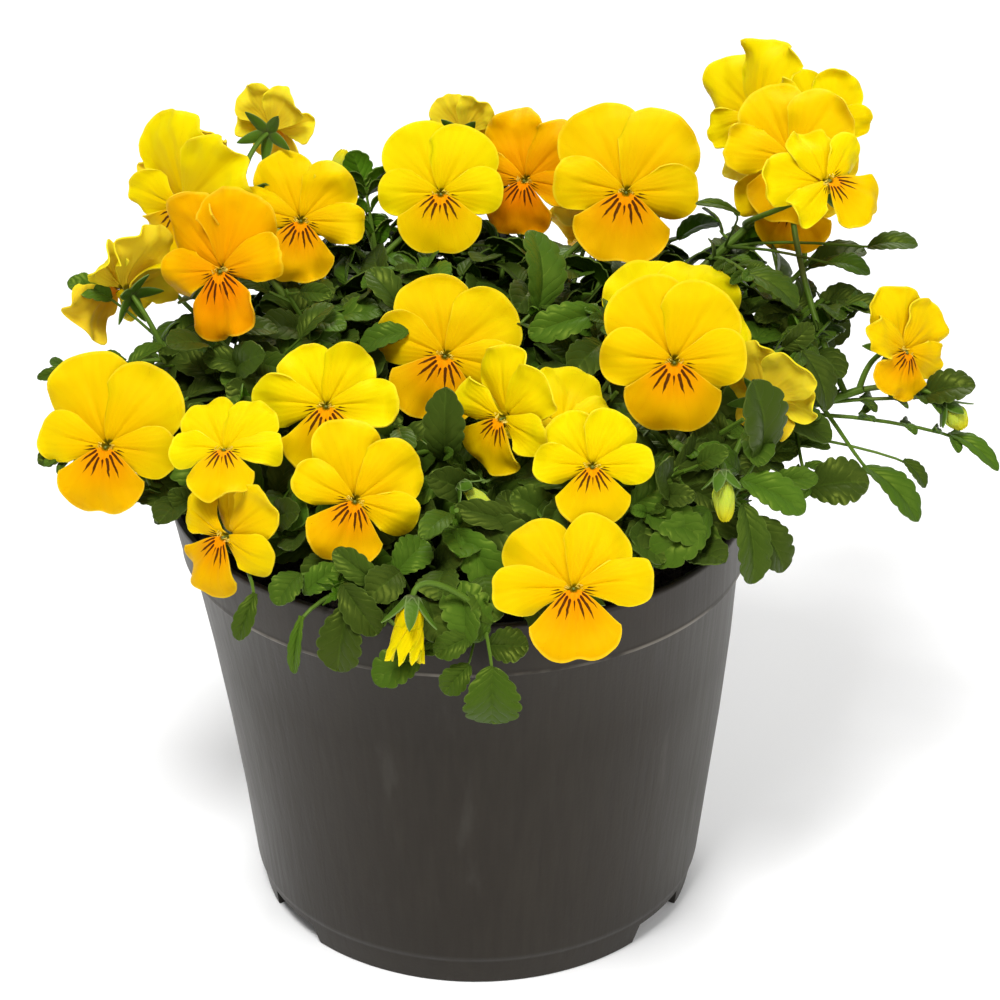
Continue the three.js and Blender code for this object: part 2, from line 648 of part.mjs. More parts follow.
for (const [x, y, z, tipX, tipY, tipZ, width] of LEAVES) {
  addLeaf(vector(x, y, z), vector(tipX, tipY, tipZ), width);
}
leafyStems.forEach((stem) => {
  const count = FAR_LEAVES[stem.name] ?? 0;
  for (let i = 0; i < count; i += 1) {
    const place = stem.curve.getPoint(0.55 + (0.4 * i) / count);
    const turn = degrees(GOLDEN_ANGLE * i + 70);
    const out = vector(place.x, place.y + 30, 0).normalize();
    const away = out.applyAxisAngle(UP, 1.2 * Math.sin(turn));
    const foot = place.clone().addScaledVector(away, 6).add(vector(0, 0, 3));
    const tip = foot.clone().addScaledVector(away, FAR_LEAF_LENGTH).add(vector(0, 0, 4 * Math.cos(turn)));
    addLeaf(foot, tip, FAR_LEAF_WIDTH);
  }
});

for (const stem of leafyStems) {
  addNode(`leafy_stem_${stem.name}`, wasm.Manifold.union(stem.parts), 0x3f7a2a, 0.5);
}

const planter = new THREE.Group();
for (const { name, solid, colour, roughness } of nodes) {
  const material = new THREE.MeshStandardMaterial({ color: colour, roughness, metalness: 0 });
  const mesh = new THREE.Mesh(toGeometry(solid), material);
  mesh.name = name;
  planter.add(mesh);
}

export default planter;
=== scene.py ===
# A yellow pansy plant in full bloom in its thin round nursery pot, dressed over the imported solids.
# Lengths are millimetres, as on a drawing, and each mesh is scaled to metres as it is made.
# The pot stands at the middle of the floor, and the photographed side faces -Y.
import math
import random

import bpy
from mathutils import Matrix, Vector, noise
from mathutils.bvhtree import BVHTree


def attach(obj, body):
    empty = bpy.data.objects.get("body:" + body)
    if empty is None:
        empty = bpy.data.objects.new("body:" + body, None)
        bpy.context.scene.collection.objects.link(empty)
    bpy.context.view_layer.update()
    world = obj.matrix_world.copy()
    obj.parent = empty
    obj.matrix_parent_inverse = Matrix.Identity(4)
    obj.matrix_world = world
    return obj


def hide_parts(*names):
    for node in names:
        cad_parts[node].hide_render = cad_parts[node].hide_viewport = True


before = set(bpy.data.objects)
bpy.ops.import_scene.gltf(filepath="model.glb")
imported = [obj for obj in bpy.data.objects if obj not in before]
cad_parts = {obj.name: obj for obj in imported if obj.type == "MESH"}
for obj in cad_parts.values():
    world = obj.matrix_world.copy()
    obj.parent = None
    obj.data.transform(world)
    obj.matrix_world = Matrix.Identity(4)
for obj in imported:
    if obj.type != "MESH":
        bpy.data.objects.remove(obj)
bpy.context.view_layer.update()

# --- The pot -------------------------------------------------------------------------------------
# One moulding of dark grey-brown polypropylene, 1.7 mm thick, with a collar band under its rim and
# four drain notches in its foot. The soft wall leans a little to one side and its rim droops.
MM = 0.001
POT_HEIGHT = 132
RIM_RADIUS = 85
BAND_FOOT = POT_HEIGHT - 17
FOOT_RADIUS = 66.5
FOOT_HEIGHT = 9
FOOT_TOP_RADIUS = FOOT_RADIUS + 1.6
WALL_TOP_RADIUS = RIM_RADIUS - 1.6 - 2.2
WALL = 1.7
FLOOR = 2.5
RIM_SHIFT = -5
RIM_TILT = 0.022
NOTCH_HEIGHT = 6.5
NOTCH_HALF_WIDTH = 12.5
NOTCH_SLANT = 2
NOTCH_DEPTH = 5
NOTCH_TURN = 55.5
POT_SIDES = 256
POT_COLOUR = (0.0112, 0.0079, 0.0051)
POT_STREAK = (0.0205, 0.0165, 0.0115)
POT_SIDE_SHEEN = (0.05, 0.047, 0.034)
POT_BAND = (0.032, 0.0265, 0.0225)
POT_LEDGE_HIGHLIGHT = (0.19, 0.17, 0.14)
POT_SCUFF = (0.055, 0.05, 0.042)


class Measure:
    """A value or colour that changes over a surface: a shader node's output, reckoned with like a number."""

    def __init__(self, socket):
        self.socket = socket

    def __add__(self, other):
        return reckoned("ADD", self, other)

    def __sub__(self, other):
        return reckoned("SUBTRACT", self, other)

    def __rsub__(self, other):
        return reckoned("SUBTRACT", other, self)

    def __mul__(self, other):
        return reckoned("MULTIPLY", self, other)

    def __truediv__(self, other):
        return reckoned("DIVIDE", self, other)

    def __abs__(self):
        return reckoned("ABSOLUTE", self)


def node(tree, kind, inputs=None, **settings):
    """A shader node with its settings; an input is a plain value, a measure or another node's output."""
    made = tree.nodes.new(kind)
    for key, value in settings.items():
        setattr(made, key, value)
    for socket, value in (inputs or {}).items():
        value = value.socket if isinstance(value, Measure) else value
        if isinstance(value, bpy.types.NodeSocket):
            tree.links.new(value, made.inputs[socket])
        else:
            made.inputs[socket].default_value = value
    return made


def reckoned(operation, *values, clamp=False):
    tree = next(value.socket.id_data for value in values if isinstance(value, Measure))
    made = node(tree, "ShaderNodeMath", dict(enumerate(values)), operation=operation, use_clamp=clamp)
    return Measure(made.outputs[0])


def blended(share, low, high):
    """A colour between two, by a share from 0 to 1."""
    low, high = (side if isinstance(side, Measure) else (*side, 1) for side in (low, high))
    mix = node(share.socket.id_data, "ShaderNodeMix", {0: share, 6: low, 7: high}, data_type="RGBA")
    return Measure(mix.outputs[2])


def between(value, low, high):
    """0 below low and 1 above high, with a soft step between them."""
    return Measure(node(value.socket.id_data, "ShaderNodeMapRange", {0: value, 1: low, 2: high},
                        interpolation_type="SMOOTHSTEP").outputs[0])


def split(vector):
    """The three measures of a vector."""
    return [Measure(part) for part in node(vector.id_data, "ShaderNodeSeparateXYZ", {0: vector}).outputs]


def new_group(name, inputs, output):
    """A shader group with named inputs and one output, and the measures of its inputs."""
    tree = bpy.data.node_groups.new(name, "ShaderNodeTree")
    for label, kind in inputs.items():
        tree.interface.new_socket(label, in_out="INPUT", socket_type=f"NodeSocket{kind}")
    tree.interface.new_socket(output, in_out="OUTPUT", socket_type="NodeSocketFloat")
    return tree, [Measure(socket) for socket in tree.nodes.new("NodeGroupInput").outputs[:len(inputs)]]


def mottle_group():
    """Uneven tone from cloudy noise, stretched along any axis: about 0.5 in the mean."""
    tree, (stretch, scale) = new_group("mottle", {"Stretch": "Vector", "Scale": "Float"}, "Tone")
    place = node(tree, "ShaderNodeTexCoord").outputs["Object"]
    stretched = node(tree, "ShaderNodeVectorMath", {0: place, 1: stretch}, operation="MULTIPLY").outputs[0]
    cloud = node(tree, "ShaderNodeTexNoise", {"Vector": stretched, "Scale": scale, "Detail": 4.0})
    node(tree, "NodeGroupOutput", {"Tone": cloud.outputs["Fac"]})
    return tree


MOTTLE = mottle_group()


def mottled(tree, scale, stretch=(1, 1, 1)):
    made = node(tree, "ShaderNodeGroup", {"Stretch": stretch, "Scale": scale}, node_tree=MOTTLE)
    return Measure(made.outputs["Tone"])


def new_material(name, **sockets):
    """A material, its node tree and its shader, with the values that are the same all over."""
    material = bpy.data.materials.new(name)
    material.use_nodes = True
    shader = material.node_tree.nodes["Principled BSDF"]
    for socket, value in sockets.items():
        shader.inputs[socket.replace("_", " ").title().replace("Ior", "IOR")].default_value = value
    return material, material.node_tree, shader


def painted(shader, measure, socket="Base Color"):
    shader.id_data.links.new(measure.socket, shader.inputs[socket])


def bumped(shader, height, distance):
    """Raises the surface by a height from 0 to 1, times a distance in millimetres."""
    bump = node(shader.id_data, "ShaderNodeBump",
                {"Height": height, "Distance": distance * MM, "Strength": 1.0})
    painted(shader, Measure(bump.outputs[0]), "Normal")


def new_piece(name, points, faces, *materials):
    mesh = bpy.data.meshes.new(name)
    mesh.from_pydata([point * MM for point in points], [], faces)
    piece = bpy.data.objects.new(name, mesh)
    bpy.context.scene.collection.objects.link(piece)
    for material in materials:
        mesh.materials.append(material)
    mesh.shade_smooth()
    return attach(piece, "root")


def settled(point):
    """Where the lean of the soft pot takes a point."""
    share = max(point.z, 0) / POT_HEIGHT
    return Vector((point.x + RIM_SHIFT * share**3, point.y, point.z - RIM_TILT * point.x * share**4))


def lathe(profile, sides):
    """A turned form whose profile starts and ends on its axis."""
    points = [Vector((0, 0, profile[0][1]))]
    for radius, height in profile[1:-1]:
        for side in range(sides):
            turn = 2 * math.pi * side / sides
            points.append(Vector((radius * math.cos(turn), radius * math.sin(turn), height)))
    points.append(Vector((0, 0, profile[-1][1])))
    faces, last = [], len(points) - 1
    for side in range(sides):
        after = (side + 1) % sides
        faces.append((0, 1 + after, 1 + side))
        faces.append((last, last - sides + side, last - sides + after))
        for ring in range(len(profile) - 3):
            low = 1 + ring * sides
            faces.append((low + side, low + after, low + sides + after, low + sides + side))
    return points, faces


def pot_profile():
    """From the middle of the underside up the outside, over the rim and down the inside."""
    low, foot, wall, rim = FOOT_RADIUS, FOOT_TOP_RADIUS, WALL_TOP_RADIUS, RIM_RADIUS
    band, top = BAND_FOOT, POT_HEIGHT
    return [
        (0, 0), (low - 2, 0), (low - 0.8, 0), (low - 0.2, 0.25), (low, 1), (foot - 0.15, FOOT_HEIGHT - 0.8),
        (foot, FOOT_HEIGHT), (foot + 0.5, FOOT_HEIGHT + 0.6), (foot + 0.75, FOOT_HEIGHT + 2),
        (foot + 3.4, 35), (foot + 6.6, 61), (foot + 9.8, 87), (wall - 0.1, band - 1.6),
        (wall + 0.3, band - 0.9), (rim - 2.1, band - 0.35), (rim - 1.65, band - 0.1),
        (rim - 1.45, band + 0.4), (rim - 1.6, band + 1.1), (rim - 1.5, band + 2), (rim - 0.75, top - 8),
        (rim - 0.1, top - 1.6), (rim, top - 0.9), (rim - 0.25, top - 0.3), (rim - 0.8, top),
        (rim - 1.5, top), (rim - 1.9, top - 0.3), (rim - 2.1, top - 1.2), (wall - WALL, band - 1),
        (foot - WALL, FOOT_HEIGHT), (low - 4, FLOOR), (0, FLOOR),
    ]


def drain_notches():
    """Four slanted blocks that cut the notches."""
    points, faces = [], []
    low, high = NOTCH_HALF_WIDTH, NOTCH_HALF_WIDTH - NOTCH_SLANT
    for side in (NOTCH_TURN, 180 - NOTCH_TURN, 180 + NOTCH_TURN, -NOTCH_TURN):
        turn = Matrix.Rotation(math.radians(side), 3, "Z")
        first = len(points)
        for reach in (FOOT_RADIUS - NOTCH_DEPTH, FOOT_RADIUS + 2 * NOTCH_DEPTH):
            for across, height in ((-low, -1), (low, -1), (high, NOTCH_HEIGHT), (-high, NOTCH_HEIGHT)):
                points.append(turn @ Vector((across, -reach, height)))
        for face in ((0, 3, 2, 1), (4, 5, 6, 7), (0, 1, 5, 4), (1, 2, 6, 5), (2, 3, 7, 6), (3, 0, 4, 7)):
            faces.append(tuple(first + corner for corner in face))
    return points, faces


def make_pot():
    material, tree, shader = new_material("pot_plastic", roughness=0.4, specular_ior_level=0.26,
                                          specular_tint=(1, 0.95, 0.86, 1))
    streaks, patches = mottled(tree, 420, (1, 1, 0.025)), mottled(tree, 18, (1, 1, 0.6))
    x, _, z = split(node(tree, "ShaderNodeTexCoord").outputs["Object"])
    tone = streaks * 0.55 + patches * 0.45
    base = blended(between(tone, 0.32, 0.78), POT_COLOUR, POT_STREAK)
    # The left and right sides, seen from the front, are painted paler: a painted reflection of the studio
    # light.
    base = blended(between(abs(x), 0.045, 0.085) * 0.35, base, POT_SIDE_SHEEN)
    base = blended(between(z, (BAND_FOOT - 2) * MM, (BAND_FOOT + 1) * MM) * 0.35, base, POT_BAND)
    # A painted highlight: the ledge at the foot of the band is painted pale where it would catch the light.
    height = z + x * (0.6 * RIM_TILT)
    ledge = (between(height, (BAND_FOOT - 0.5) * MM, (BAND_FOOT + 0.1) * MM)
             - between(height, (BAND_FOOT + 0.5) * MM, (BAND_FOOT + 1.1) * MM))
    base = blended(ledge * between(mottled(tree, 60), 0.35, 0.65) * 0.8, base, POT_LEDGE_HIGHLIGHT)
    scuffs = between(mottled(tree, 90, (1, 1, 0.25)), 0.6, 0.75)
    painted(shader, blended(scuffs * 0.3, base, POT_SCUFF))
    painted(shader, tone * 0.3 + 0.3, "Roughness")
    bumped(shader, streaks * 0.8 + mottled(tree, 900) * 0.2, 0.16)

    points, faces = lathe(pot_profile(), POT_SIDES)
    for i, point in enumerate(points):
        turn, share = math.atan2(point.y, point.x), max(point.z, 0) / POT_HEIGHT
        wave = 1 + 0.0018 * share * math.sin(3 * turn + 0.6) + 0.0007 * math.sin(7 * turn + 3 * share)
        points[i] = settled(Vector((point.x * wave, point.y * wave, point.z)))
    pot = new_piece("nursery_pot", points, faces, material)
    cutter = new_piece("drain_notch_blocks", *drain_notches())
    cut = pot.modifiers.new("notches", "BOOLEAN")
    cut.object, cut.operation, cut.solver = cutter, "DIFFERENCE", "EXACT"
    bpy.context.view_layer.update()
    graph = bpy.context.evaluated_depsgraph_get()
    pot.data = bpy.data.meshes.new_from_object(pot.evaluated_get(graph))
    pot.modifiers.clear()
    bpy.data.objects.remove(cutter)
    pot.data.shade_smooth()
    pot.data.set_sharp_from_angle(angle=math.radians(38))
    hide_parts("pot")


make_pot()

# --- The soil ------------------------------------------------------------------------------------
# Dark moist potting mix of peat and bark that fills the pot to 15 mm under its rim and holds the
# roots. Crumbs of peat and chips of bark lie loose on top.
SOIL_TOP = 117
SOIL_GAP = 0.85
SOIL_SIDES = 120
CRUMBS = 1500
PEAT_DARK = (0.011, 0.0075, 0.005)
PEAT_BROWN = (0.045, 0.029, 0.018)
BARK_CHIP = (0.1, 0.06, 0.033)


def crumb(size, draw):
    """A small rough lump with eight corners."""
    points = []
    for corner in range(8):
        way = Vector((1 if corner & 1 else -1, 1 if corner & 2 else -1, 1 if corner & 4 else -1))
        points.append(Vector([w * s * draw.uniform(0.45, 1) for w, s in zip(way, size)]))
    return points, [(0, 2, 3, 1), (4, 5, 7, 6), (0, 1, 5, 4), (1, 3, 7, 5), (3, 2, 6, 7), (2, 0, 4, 6)]


def soil_height(x, y):
    lumps = 1.3 * noise.noise(Vector((x, y, 3)) * 0.12) + 0.7 * noise.noise(Vector((x, y, 9)) * 0.45)
    return 1.1 * math.sin(x * 0.21 + 1) * math.cos(y * 0.17) + lumps


def make_soil():
    material, tree, shader = new_material("potting_soil", roughness=0.95)
    grains = mottled(tree, 900)
    base = blended(between(grains, 0.42, 0.62), PEAT_DARK, PEAT_BROWN)
    painted(shader, blended(between(mottled(tree, 240), 0.62, 0.68), base, BARK_CHIP))
    bumped(shader, grains, 0.9)

    inside = WALL_TOP_RADIUS - WALL
    top = [(inside - SOIL_GAP - 0.2 - 3.9 * ring, SOIL_TOP - 1.2 + min(ring, 5) * 0.45) for ring in range(20)]
    profile = [(0, FLOOR + 0.35), (FOOT_RADIUS - 5, FLOOR + 0.35),
               (FOOT_TOP_RADIUS - WALL - SOIL_GAP, FOOT_HEIGHT), (inside - SOIL_GAP, BAND_FOOT - 3),
               *top, (0, SOIL_TOP + 1.5)]
    points, faces = lathe(profile, SOIL_SIDES)
    points = [settled(p + Vector((0, 0, soil_height(p.x, p.y) if p.z > SOIL_TOP - 2 else 0))) for p in points]
    draw = random.Random(41)
    for _ in range(CRUMBS):
        turn, reach = draw.uniform(0, 2 * math.pi), (inside - 5) * math.sqrt(draw.random())
        x, y = reach * math.cos(turn), reach * math.sin(turn)
        long = draw.uniform(0.7, 2.6)
        size = (long, long * draw.uniform(0.4, 0.9), long * draw.uniform(0.25, 0.6))
        lump, sides = crumb(size, draw)
        spin = Matrix.Rotation(draw.uniform(0, 3), 3, Vector((draw.random(), draw.random(), 2)))
        seat = settled(Vector((x, y, SOIL_TOP + 0.9 + soil_height(x, y))))
        first = len(points)
        points += [seat + spin @ corner for corner in lump]
        faces += [tuple(first + corner for corner in side) for side in sides]
    soil = new_piece("potting_soil", points, faces, material)
    soil.data.set_sharp_from_angle(angle=math.radians(35))
    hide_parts("soil")


make_soil()

# --- The blooms ----------------------------------------------------------------------------------
# Each pansy is five thin petals in layers, two upper, two at the sides and a broad lower one, that
# meet in a bearded throat round a green stigma, with a short spur behind. Dark lines mark the throat.
PETAL_THICKNESS = 0.42
PETAL_FOOT = 0.03
PETAL_COLUMNS = 32
PETAL_ROWS = 17
PETAL_RIPPLE = 0.012
THROAT_BACK = -5.5
THROAT_FUNNEL = 2.2
HAIRS = 9

# Turn of the middle line from straight up, half of the fan, reach as a share of the bloom's width,
# how much shorter the fan's sides are, layer in front of the throat, lean to the front, notch in the
# middle of the edge, and which petal it is: 0 upper, 1 side, 2 lower.
PETALS = [
    (30, 47, 0.57, 0.36, -2.7, -0.12, 0, 0),
    (-31, 47, 0.56, 0.36, -1.5, -0.09, 0, 0),
    (86, 37, 0.47, 0.42, -0.2, 0, 0, 1),
    (-86, 37, 0.47, 0.42, -0.2, 0, 0, 1),
    (180, 60, 0.47, 0.24, 1, 0.03, 0.07, 2),
]

# Throat (x, y, z), turn from the front towards the right, tilt up from level, roll, width of the
# whole flower, colour, how full the petals are (1 is round and closed), how long the upper petals
# are against the others, and how ruffled the petals are.
BLOOMS = [
    ("01", -103.5, -30, 158.5, -8, 25, -5, 43, "golden", 0.92, 1.1, 1),
    ("02", -103, 14, 188.5, -134, 15, 50, 38, "lemon", 0.9, 1, 2),
    ("03", -88.5, 66, 203.5, -160, 10, 0, 30, "golden", 0.85, 1, 2),
    ("04", -86.5, 34, 204.5, -35, 0, -12, 38, "lemon", 0.95, 1.3, 1.6),
    ("05", -72, -2, 200, -25, 18, 20, 43, "orange", 0.85, 1, 2),
    ("06", -51.5, 36, 200, 5, 25, -12, 41, "golden", 0.85, 0.9, 2),
    ("07", -60, 60, 220, 160, 0, 0, 27, "lemon", 0.85, 1, 2),
    ("08", -10.5, 46, 204.5, 0, 25, 0, 39.5, "lemon", 1, 1, 0.6),
    ("09", -4, 92, 207.5, 170, 5, 0, 24, "lemon", 0.9, 1, 2),
    ("10", 14.5, 62, 202.5, -15, 20, -8, 38, "orange", 0.85, 1, 2),
    ("11", 44.5, 46, 205, 0, 28, -5, 47, "golden", 0.95, 1.05, 1),
    ("12", 55, -34, 186.5, 0, 22, 0, 43, "golden", 1, 1, 0.7),
    ("13", 58, 6, 177, 5, 42, 0, 46, "lemon", 1, 1, 1.4),
    ("14", 83, -22, 170.5, 150, 0, 10, 31, "lemon", 0.9, 1, 1.5),
    ("15", -8.5, -6, 175.5, 0, 28, -20, 44, "golden", 0.95, 0.97, 1),
    ("16", -41, -36, 174, 0, 32, 0, 44, "lemon", 0.88, 0.75, 1.8),
    ("17", -68, -52, 168.5, -10, 52, 5, 34, "lemon", 0.85, 0.95, 1.2),
    ("18", -32, -64, 159, 8, 24, -24, 38, "golden", 0.85, 1, 1.6),
    ("19", -68, -63, 147.5, -40, 15, -12, 38, "golden", 0.8, 0.9, 1.2),
    ("20", 7.5, -45, 174.5, -42, 8, -10, 36, "lemon", 0.85, 0.95, 1.2),
    ("21", 24.5, -36, 168, 25, 52, 0, 37, "lemon", 1, 1, 1.6),
    ("22", 32, -62, 168.5, 0, 32, 0, 35, "lemon", 0.85, 0.85, 1.2),
    ("23", 26.5, -90, 146.5, 0, 46, 5, 46, "golden", 0.8, 0.88, 1),
    ("24", 83.5, 70, 219.5, -48, 22, 38, 37, "lemon", 0.85, 1.2, 2.2),
    ("25", 92.5, 40, 218, -10, 25, 0, 42, "golden", 0.9, 0.95, 2),
    ("26", 106.5, 88, 210.5, 5, 20, 0, 32, "lemon", 0.9, 1, 2),
    ("27", 100, 10, 222.5, 25, 40, 40, 35, "lemon", 0.8, 0.9, 2),
    ("28", 93, 104, 187, 165, 5, 0, 34, "lemon", 0.9, 1, 2),
    ("29", 94, 44, 203, 0, -5, 0, 36, "golden", 1, 0.6, 1.5),
    ("30", 124, 0, 174, 36, 12, -34, 32, "golden", 0.95, 1, 1.6),
    ("31", -70, 96, 172, 160, 30, 0, 38, "lemon", 0.9, 1, 1.5),
    ("32", 40, 104, 170, 175, 30, 5, 38, "golden", 0.9, 1, 1.5),
]

# Rim and body of the upper and side petals, body of the lower one, and blush round the throat.
PETAL_COLOURS = {
    "lemon": ((0.68, 0.59, 0.001), (0.68, 0.51, 0.0), (0.67, 0.43, 0.0), (0.65, 0.31, 0.0)),
    "golden": ((0.68, 0.52, 0.001), (0.67, 0.44, 0.0), (0.66, 0.33, 0.0), (0.65, 0.23, 0.0)),
    "orange": ((0.68, 0.4, 0.0), (0.67, 0.31, 0.0), (0.66, 0.23, 0.0), (0.65, 0.165, 0.0)),
}
PETAL_BACK = (0.84, 0.68, 0.08)
PETAL_EDGE_GLOW = (0.86, 0.66, 0.04)
BUD_FOOT = (0.42, 0.5, 0.05)
THROAT_ORANGE = (0.85, 0.25, 0.0)
THROAT_SHADE = (0.1, 0.085, 0.0)
THROAT_MAROON = (0.04, 0.003, 0.002)
UP = Vector((0, 0, 1))


class Growth:
    """Gathers the faces of one grown piece, with the marks that its materials read at each point:
    place is (across from -1 to 1, along from 0 to 1, kind), and tone is (light or dark, underside)."""

    def __init__(self):
        self.points, self.faces, self.slots, self.place, self.tone = [], [], [], [], []

    def add(self, points, faces, slot=0, place=None, tone=(0, 0)):
        first = len(self.points)
        self.points += points
        self.faces += [tuple(first + corner for corner in face) for face in faces]
        self.slots += [slot] * len(faces)
        self.place += place or [(0, 0, 0)] * len(points)
        self.tone += [(*tone, 0)] * len(points)

    def add_blade(self, rows, thickness, slot=0, kind=0, tone=0.0, facing=1):
        """A thin blade over a grid of points, row by row from its foot to its tip."""
        count, width = len(rows), len(rows[0])
        top, under, place = [], [], []
        for r, row in enumerate(rows):
            for c, point in enumerate(row):
                along = rows[min(r + 1, count - 1)][c] - rows[max(r - 1, 0)][c]
                across = row[min(c + 1, width - 1)] - row[max(c - 1, 0)]
                offset = across.cross(along).normalized() * (thickness / 2)
                top.append(point + offset)
                under.append(point - offset)
                place.append((facing * (2 * c / (width - 1) - 1), r / (count - 1), kind))
        faces = []
        for r in range(count - 1):
            for c in range(width - 1):
                a = r * width + c
                faces.append((a, a + 1, a + width + 1, a + width))
        edge = [*range(width), *(width * r + width - 1 for r in range(1, count)),
                *(width * (count - 1) + c for c in range(width - 2, -1, -1)),
                *(width * r for r in range(count - 2, 0, -1))]
        size = len(top)
        sides = [(b, a, a + size, b + size) for a, b in zip(edge, edge[1:] + edge[:1])]
        back = [tuple(size + corner for corner in reversed(face)) for face in faces]
        first = len(self.points)
        self.add(top + under, faces + back + sides, slot, place + place)
        self.tone[first:] = [(tone, 0, 0)] * size + [(tone, 1, 0)] * size

    def add_tube(self, centres, radii, sides, slot=0, tone=0.0, flat=1.0):
        """A closed round tube through points, each with its own radius."""
        points, place = [], []
        across = None
        for i, (centre, radius) in enumerate(zip(centres, radii)):
            along = (centres[min(i + 1, len(centres) - 1)] - centres[max(i - 1, 0)]).normalized()
            if across is None:
                across = along.orthogonal()
            across = (across - along * across.dot(along)).normalized()
            other = along.cross(across)
            for side in range(sides):
                turn = 2 * math.pi * side / sides
                points.append(centre + across * (radius * math.cos(turn))
                              + other * (flat * radius * math.sin(turn)))
                place.append((math.sin(turn), i / (len(centres) - 1), 0))
        faces, last = [tuple(reversed(range(sides)))], (len(centres) - 1) * sides
        for ring in range(len(centres) - 1):
            for side in range(sides):
                a, b = ring * sides + side, ring * sides + (side + 1) % sides
                faces.append((a, b, b + sides, a + sides))
        faces.append(tuple(last + side for side in range(sides)))
        self.add(points, faces, slot, place, (tone, 0))

    def finish(self, name, *materials):
        piece = new_piece(name, self.points, self.faces, *materials)
        mesh = piece.data
        mesh.polygons.foreach_set("material_index", self.slots)
        for label, values in (("place", self.place), ("tone", self.tone)):
            marks = mesh.attributes.new(label, "FLOAT_VECTOR", "POINT")
            marks.data.foreach_set("vector", [value for mark in values for value in mark])
        mesh.set_sharp_from_angle(angle=math.radians(50))
        return piece


def marks(tree):
    """Across, along and kind from the place mark, and light or dark and underside from the tone mark."""
    place, tone = (split(node(tree, "ShaderNodeAttribute", attribute_name=name).outputs["Vector"])
                   for name in ("place", "tone"))
    return (*place, *tone[:2])


def is_kind(kind, which):
    """1 on the petals of one kind and 0 on the others."""
    return between(kind, which - 0.6, which - 0.4) - between(kind, which + 0.4, which + 0.6)


def throat_group():
    """The maroon lines that fan out of the throat over the side and lower petals."""
    inputs = dict.fromkeys(("Across", "Out", "Kind", "Waver"), "Float")
    tree, (across, out, kind, waver) = new_group("throat_lines", inputs, "Lines")
    lower, side = is_kind(kind, 2), is_kind(kind, 1)
    fan = (across + (waver - 0.5) * 0.12) * 3.6
    line = reckoned("ROUND", fan)
    order, gap = abs(line), abs(fan - line)
    # The middle line is short and starts late. The next two pairs on the lower petal are the longest.
    start = 0.17 - reckoned("MINIMUM", order, 2) * 0.025
    end = lower * (order * 0.17 - order * order * 0.042 + 0.34) + side * (order * 0.05 + 0.23)
    # The side petals are lined only on the half beside the lower petal.
    beside = reckoned("GREATER_THAN", line, 0.5) * reckoned("LESS_THAN", line, 3.5)
    shown = lower * reckoned("LESS_THAN", order, 3.5) + side * beside
    taper = reckoned("MINIMUM", reckoned("MULTIPLY", out - start, 40, clamp=True),
                     reckoned("MULTIPLY", end - out, 8, clamp=True))
    breadth = taper * shown * 0.06 / reckoned("MAXIMUM", out, 0.05)
    ratio = gap / reckoned("MAXIMUM", breadth, 0.001)
    node(tree, "NodeGroupOutput", {"Lines": 1 - between(ratio, 0.75, 1.1)})
    return tree


THROAT_LINES = throat_group()


def petal_material(name):
    rim, body, lip, blush = PETAL_COLOURS[name]
    material, tree, shader = new_material(f"petals_{name}", roughness=0.6, specular_ior_level=0.08,
                                          specular_tint=(1, 0.85, 0.15, 1), subsurface_weight=0.42,
                                          subsurface_scale=0.0012, subsurface_radius=(1, 0.7, 0.06))
    across, out, kind, tone, under = marks(tree)
    soft, lower = mottled(tree, 60), is_kind(kind, 2)
    # Fine veins that run with the fan.
    veins = (reckoned("SINE", (across + soft * 0.5) * 32) + 1) * 0.5
    petal = blended(between(out, 0.25, 1.0), blended(lower, body, lip), blended(lower * 0.7, rim, lip))
    petal = blended((1 - between(out, 0.12, 0.75)) * (lower * 0.75 + 0.12), petal, blush)
    petal = blended((1 - veins) * 0.06, petal, [0.86 * value for value in blush])
    petal = blended(tone * 0.1 + soft * 0.16, petal, blush)
    petal = blended(under * 0.25, petal, PETAL_BACK)
    # A thin paler rim round each petal: painted glow of light shining through the thin edge.
    edge = reckoned("MAXIMUM", between(out, 0.955, 0.985), between(abs(across), 0.965, 0.99))
    petal = blended(edge * 0.25, petal, PETAL_EDGE_GLOW)
    petal = blended(is_kind(kind, 3) * (1 - between(out, 0.55, 1.1)), petal, BUD_FOOT)
    # Painted shade darkens the throat to olive where the petals meet in its hollow, and the lower petal has
    # an orange patch.
    petal = blended(lower * (1 - between(out, 0.1, 0.3)) * 0.75, petal, THROAT_ORANGE)
    petal = blended((1 - between(out, 0.035, 0.075)) * 0.9, petal, THROAT_SHADE)
    given = {"Across": across, "Out": out, "Kind": kind, "Waver": mottled(tree, 420)}
    lines = Measure(node(tree, "ShaderNodeGroup", given, node_tree=THROAT_LINES).outputs[0])
    painted(shader, blended(lines * (1 - under) * 0.94, petal, THROAT_MAROON))
    bumped(shader, veins * 0.5 + mottled(tree, 1500) * 0.3, 0.07)
    return material


def flower_part(name, tint, roughness):
    material, tree, shader = new_material(name, roughness=roughness)
    painted(shader, blended(mottled(tree, 900), tint, [0.7 * value for value in tint]))
    return material


PETAL_MATERIALS = {name: petal_material(name) for name in PETAL_COLOURS}
STIGMA = flower_part("stigma_green", (0.14, 0.17, 0.015), 0.4)
BEARD = flower_part("beard_hairs", (0.95, 0.75, 0.1), 0.6)


def bloom_frame(x, y, z, turn, tilt, roll):
    """A bloom's own frame: +Z looks out of its face and +Y towards its upper petals."""
    east, rise = math.radians(turn), math.radians(tilt)
    out = Vector((math.sin(east) * math.cos(rise), -math.cos(east) * math.cos(rise), math.sin(rise)))
    right = UP.cross(out).normalized()
    turned = Matrix((right, out.cross(right), out)).transposed() @ Matrix.Rotation(math.radians(roll), 3, "Z")
    return Matrix.Translation((x, y, z)) @ turned.to_4x4()


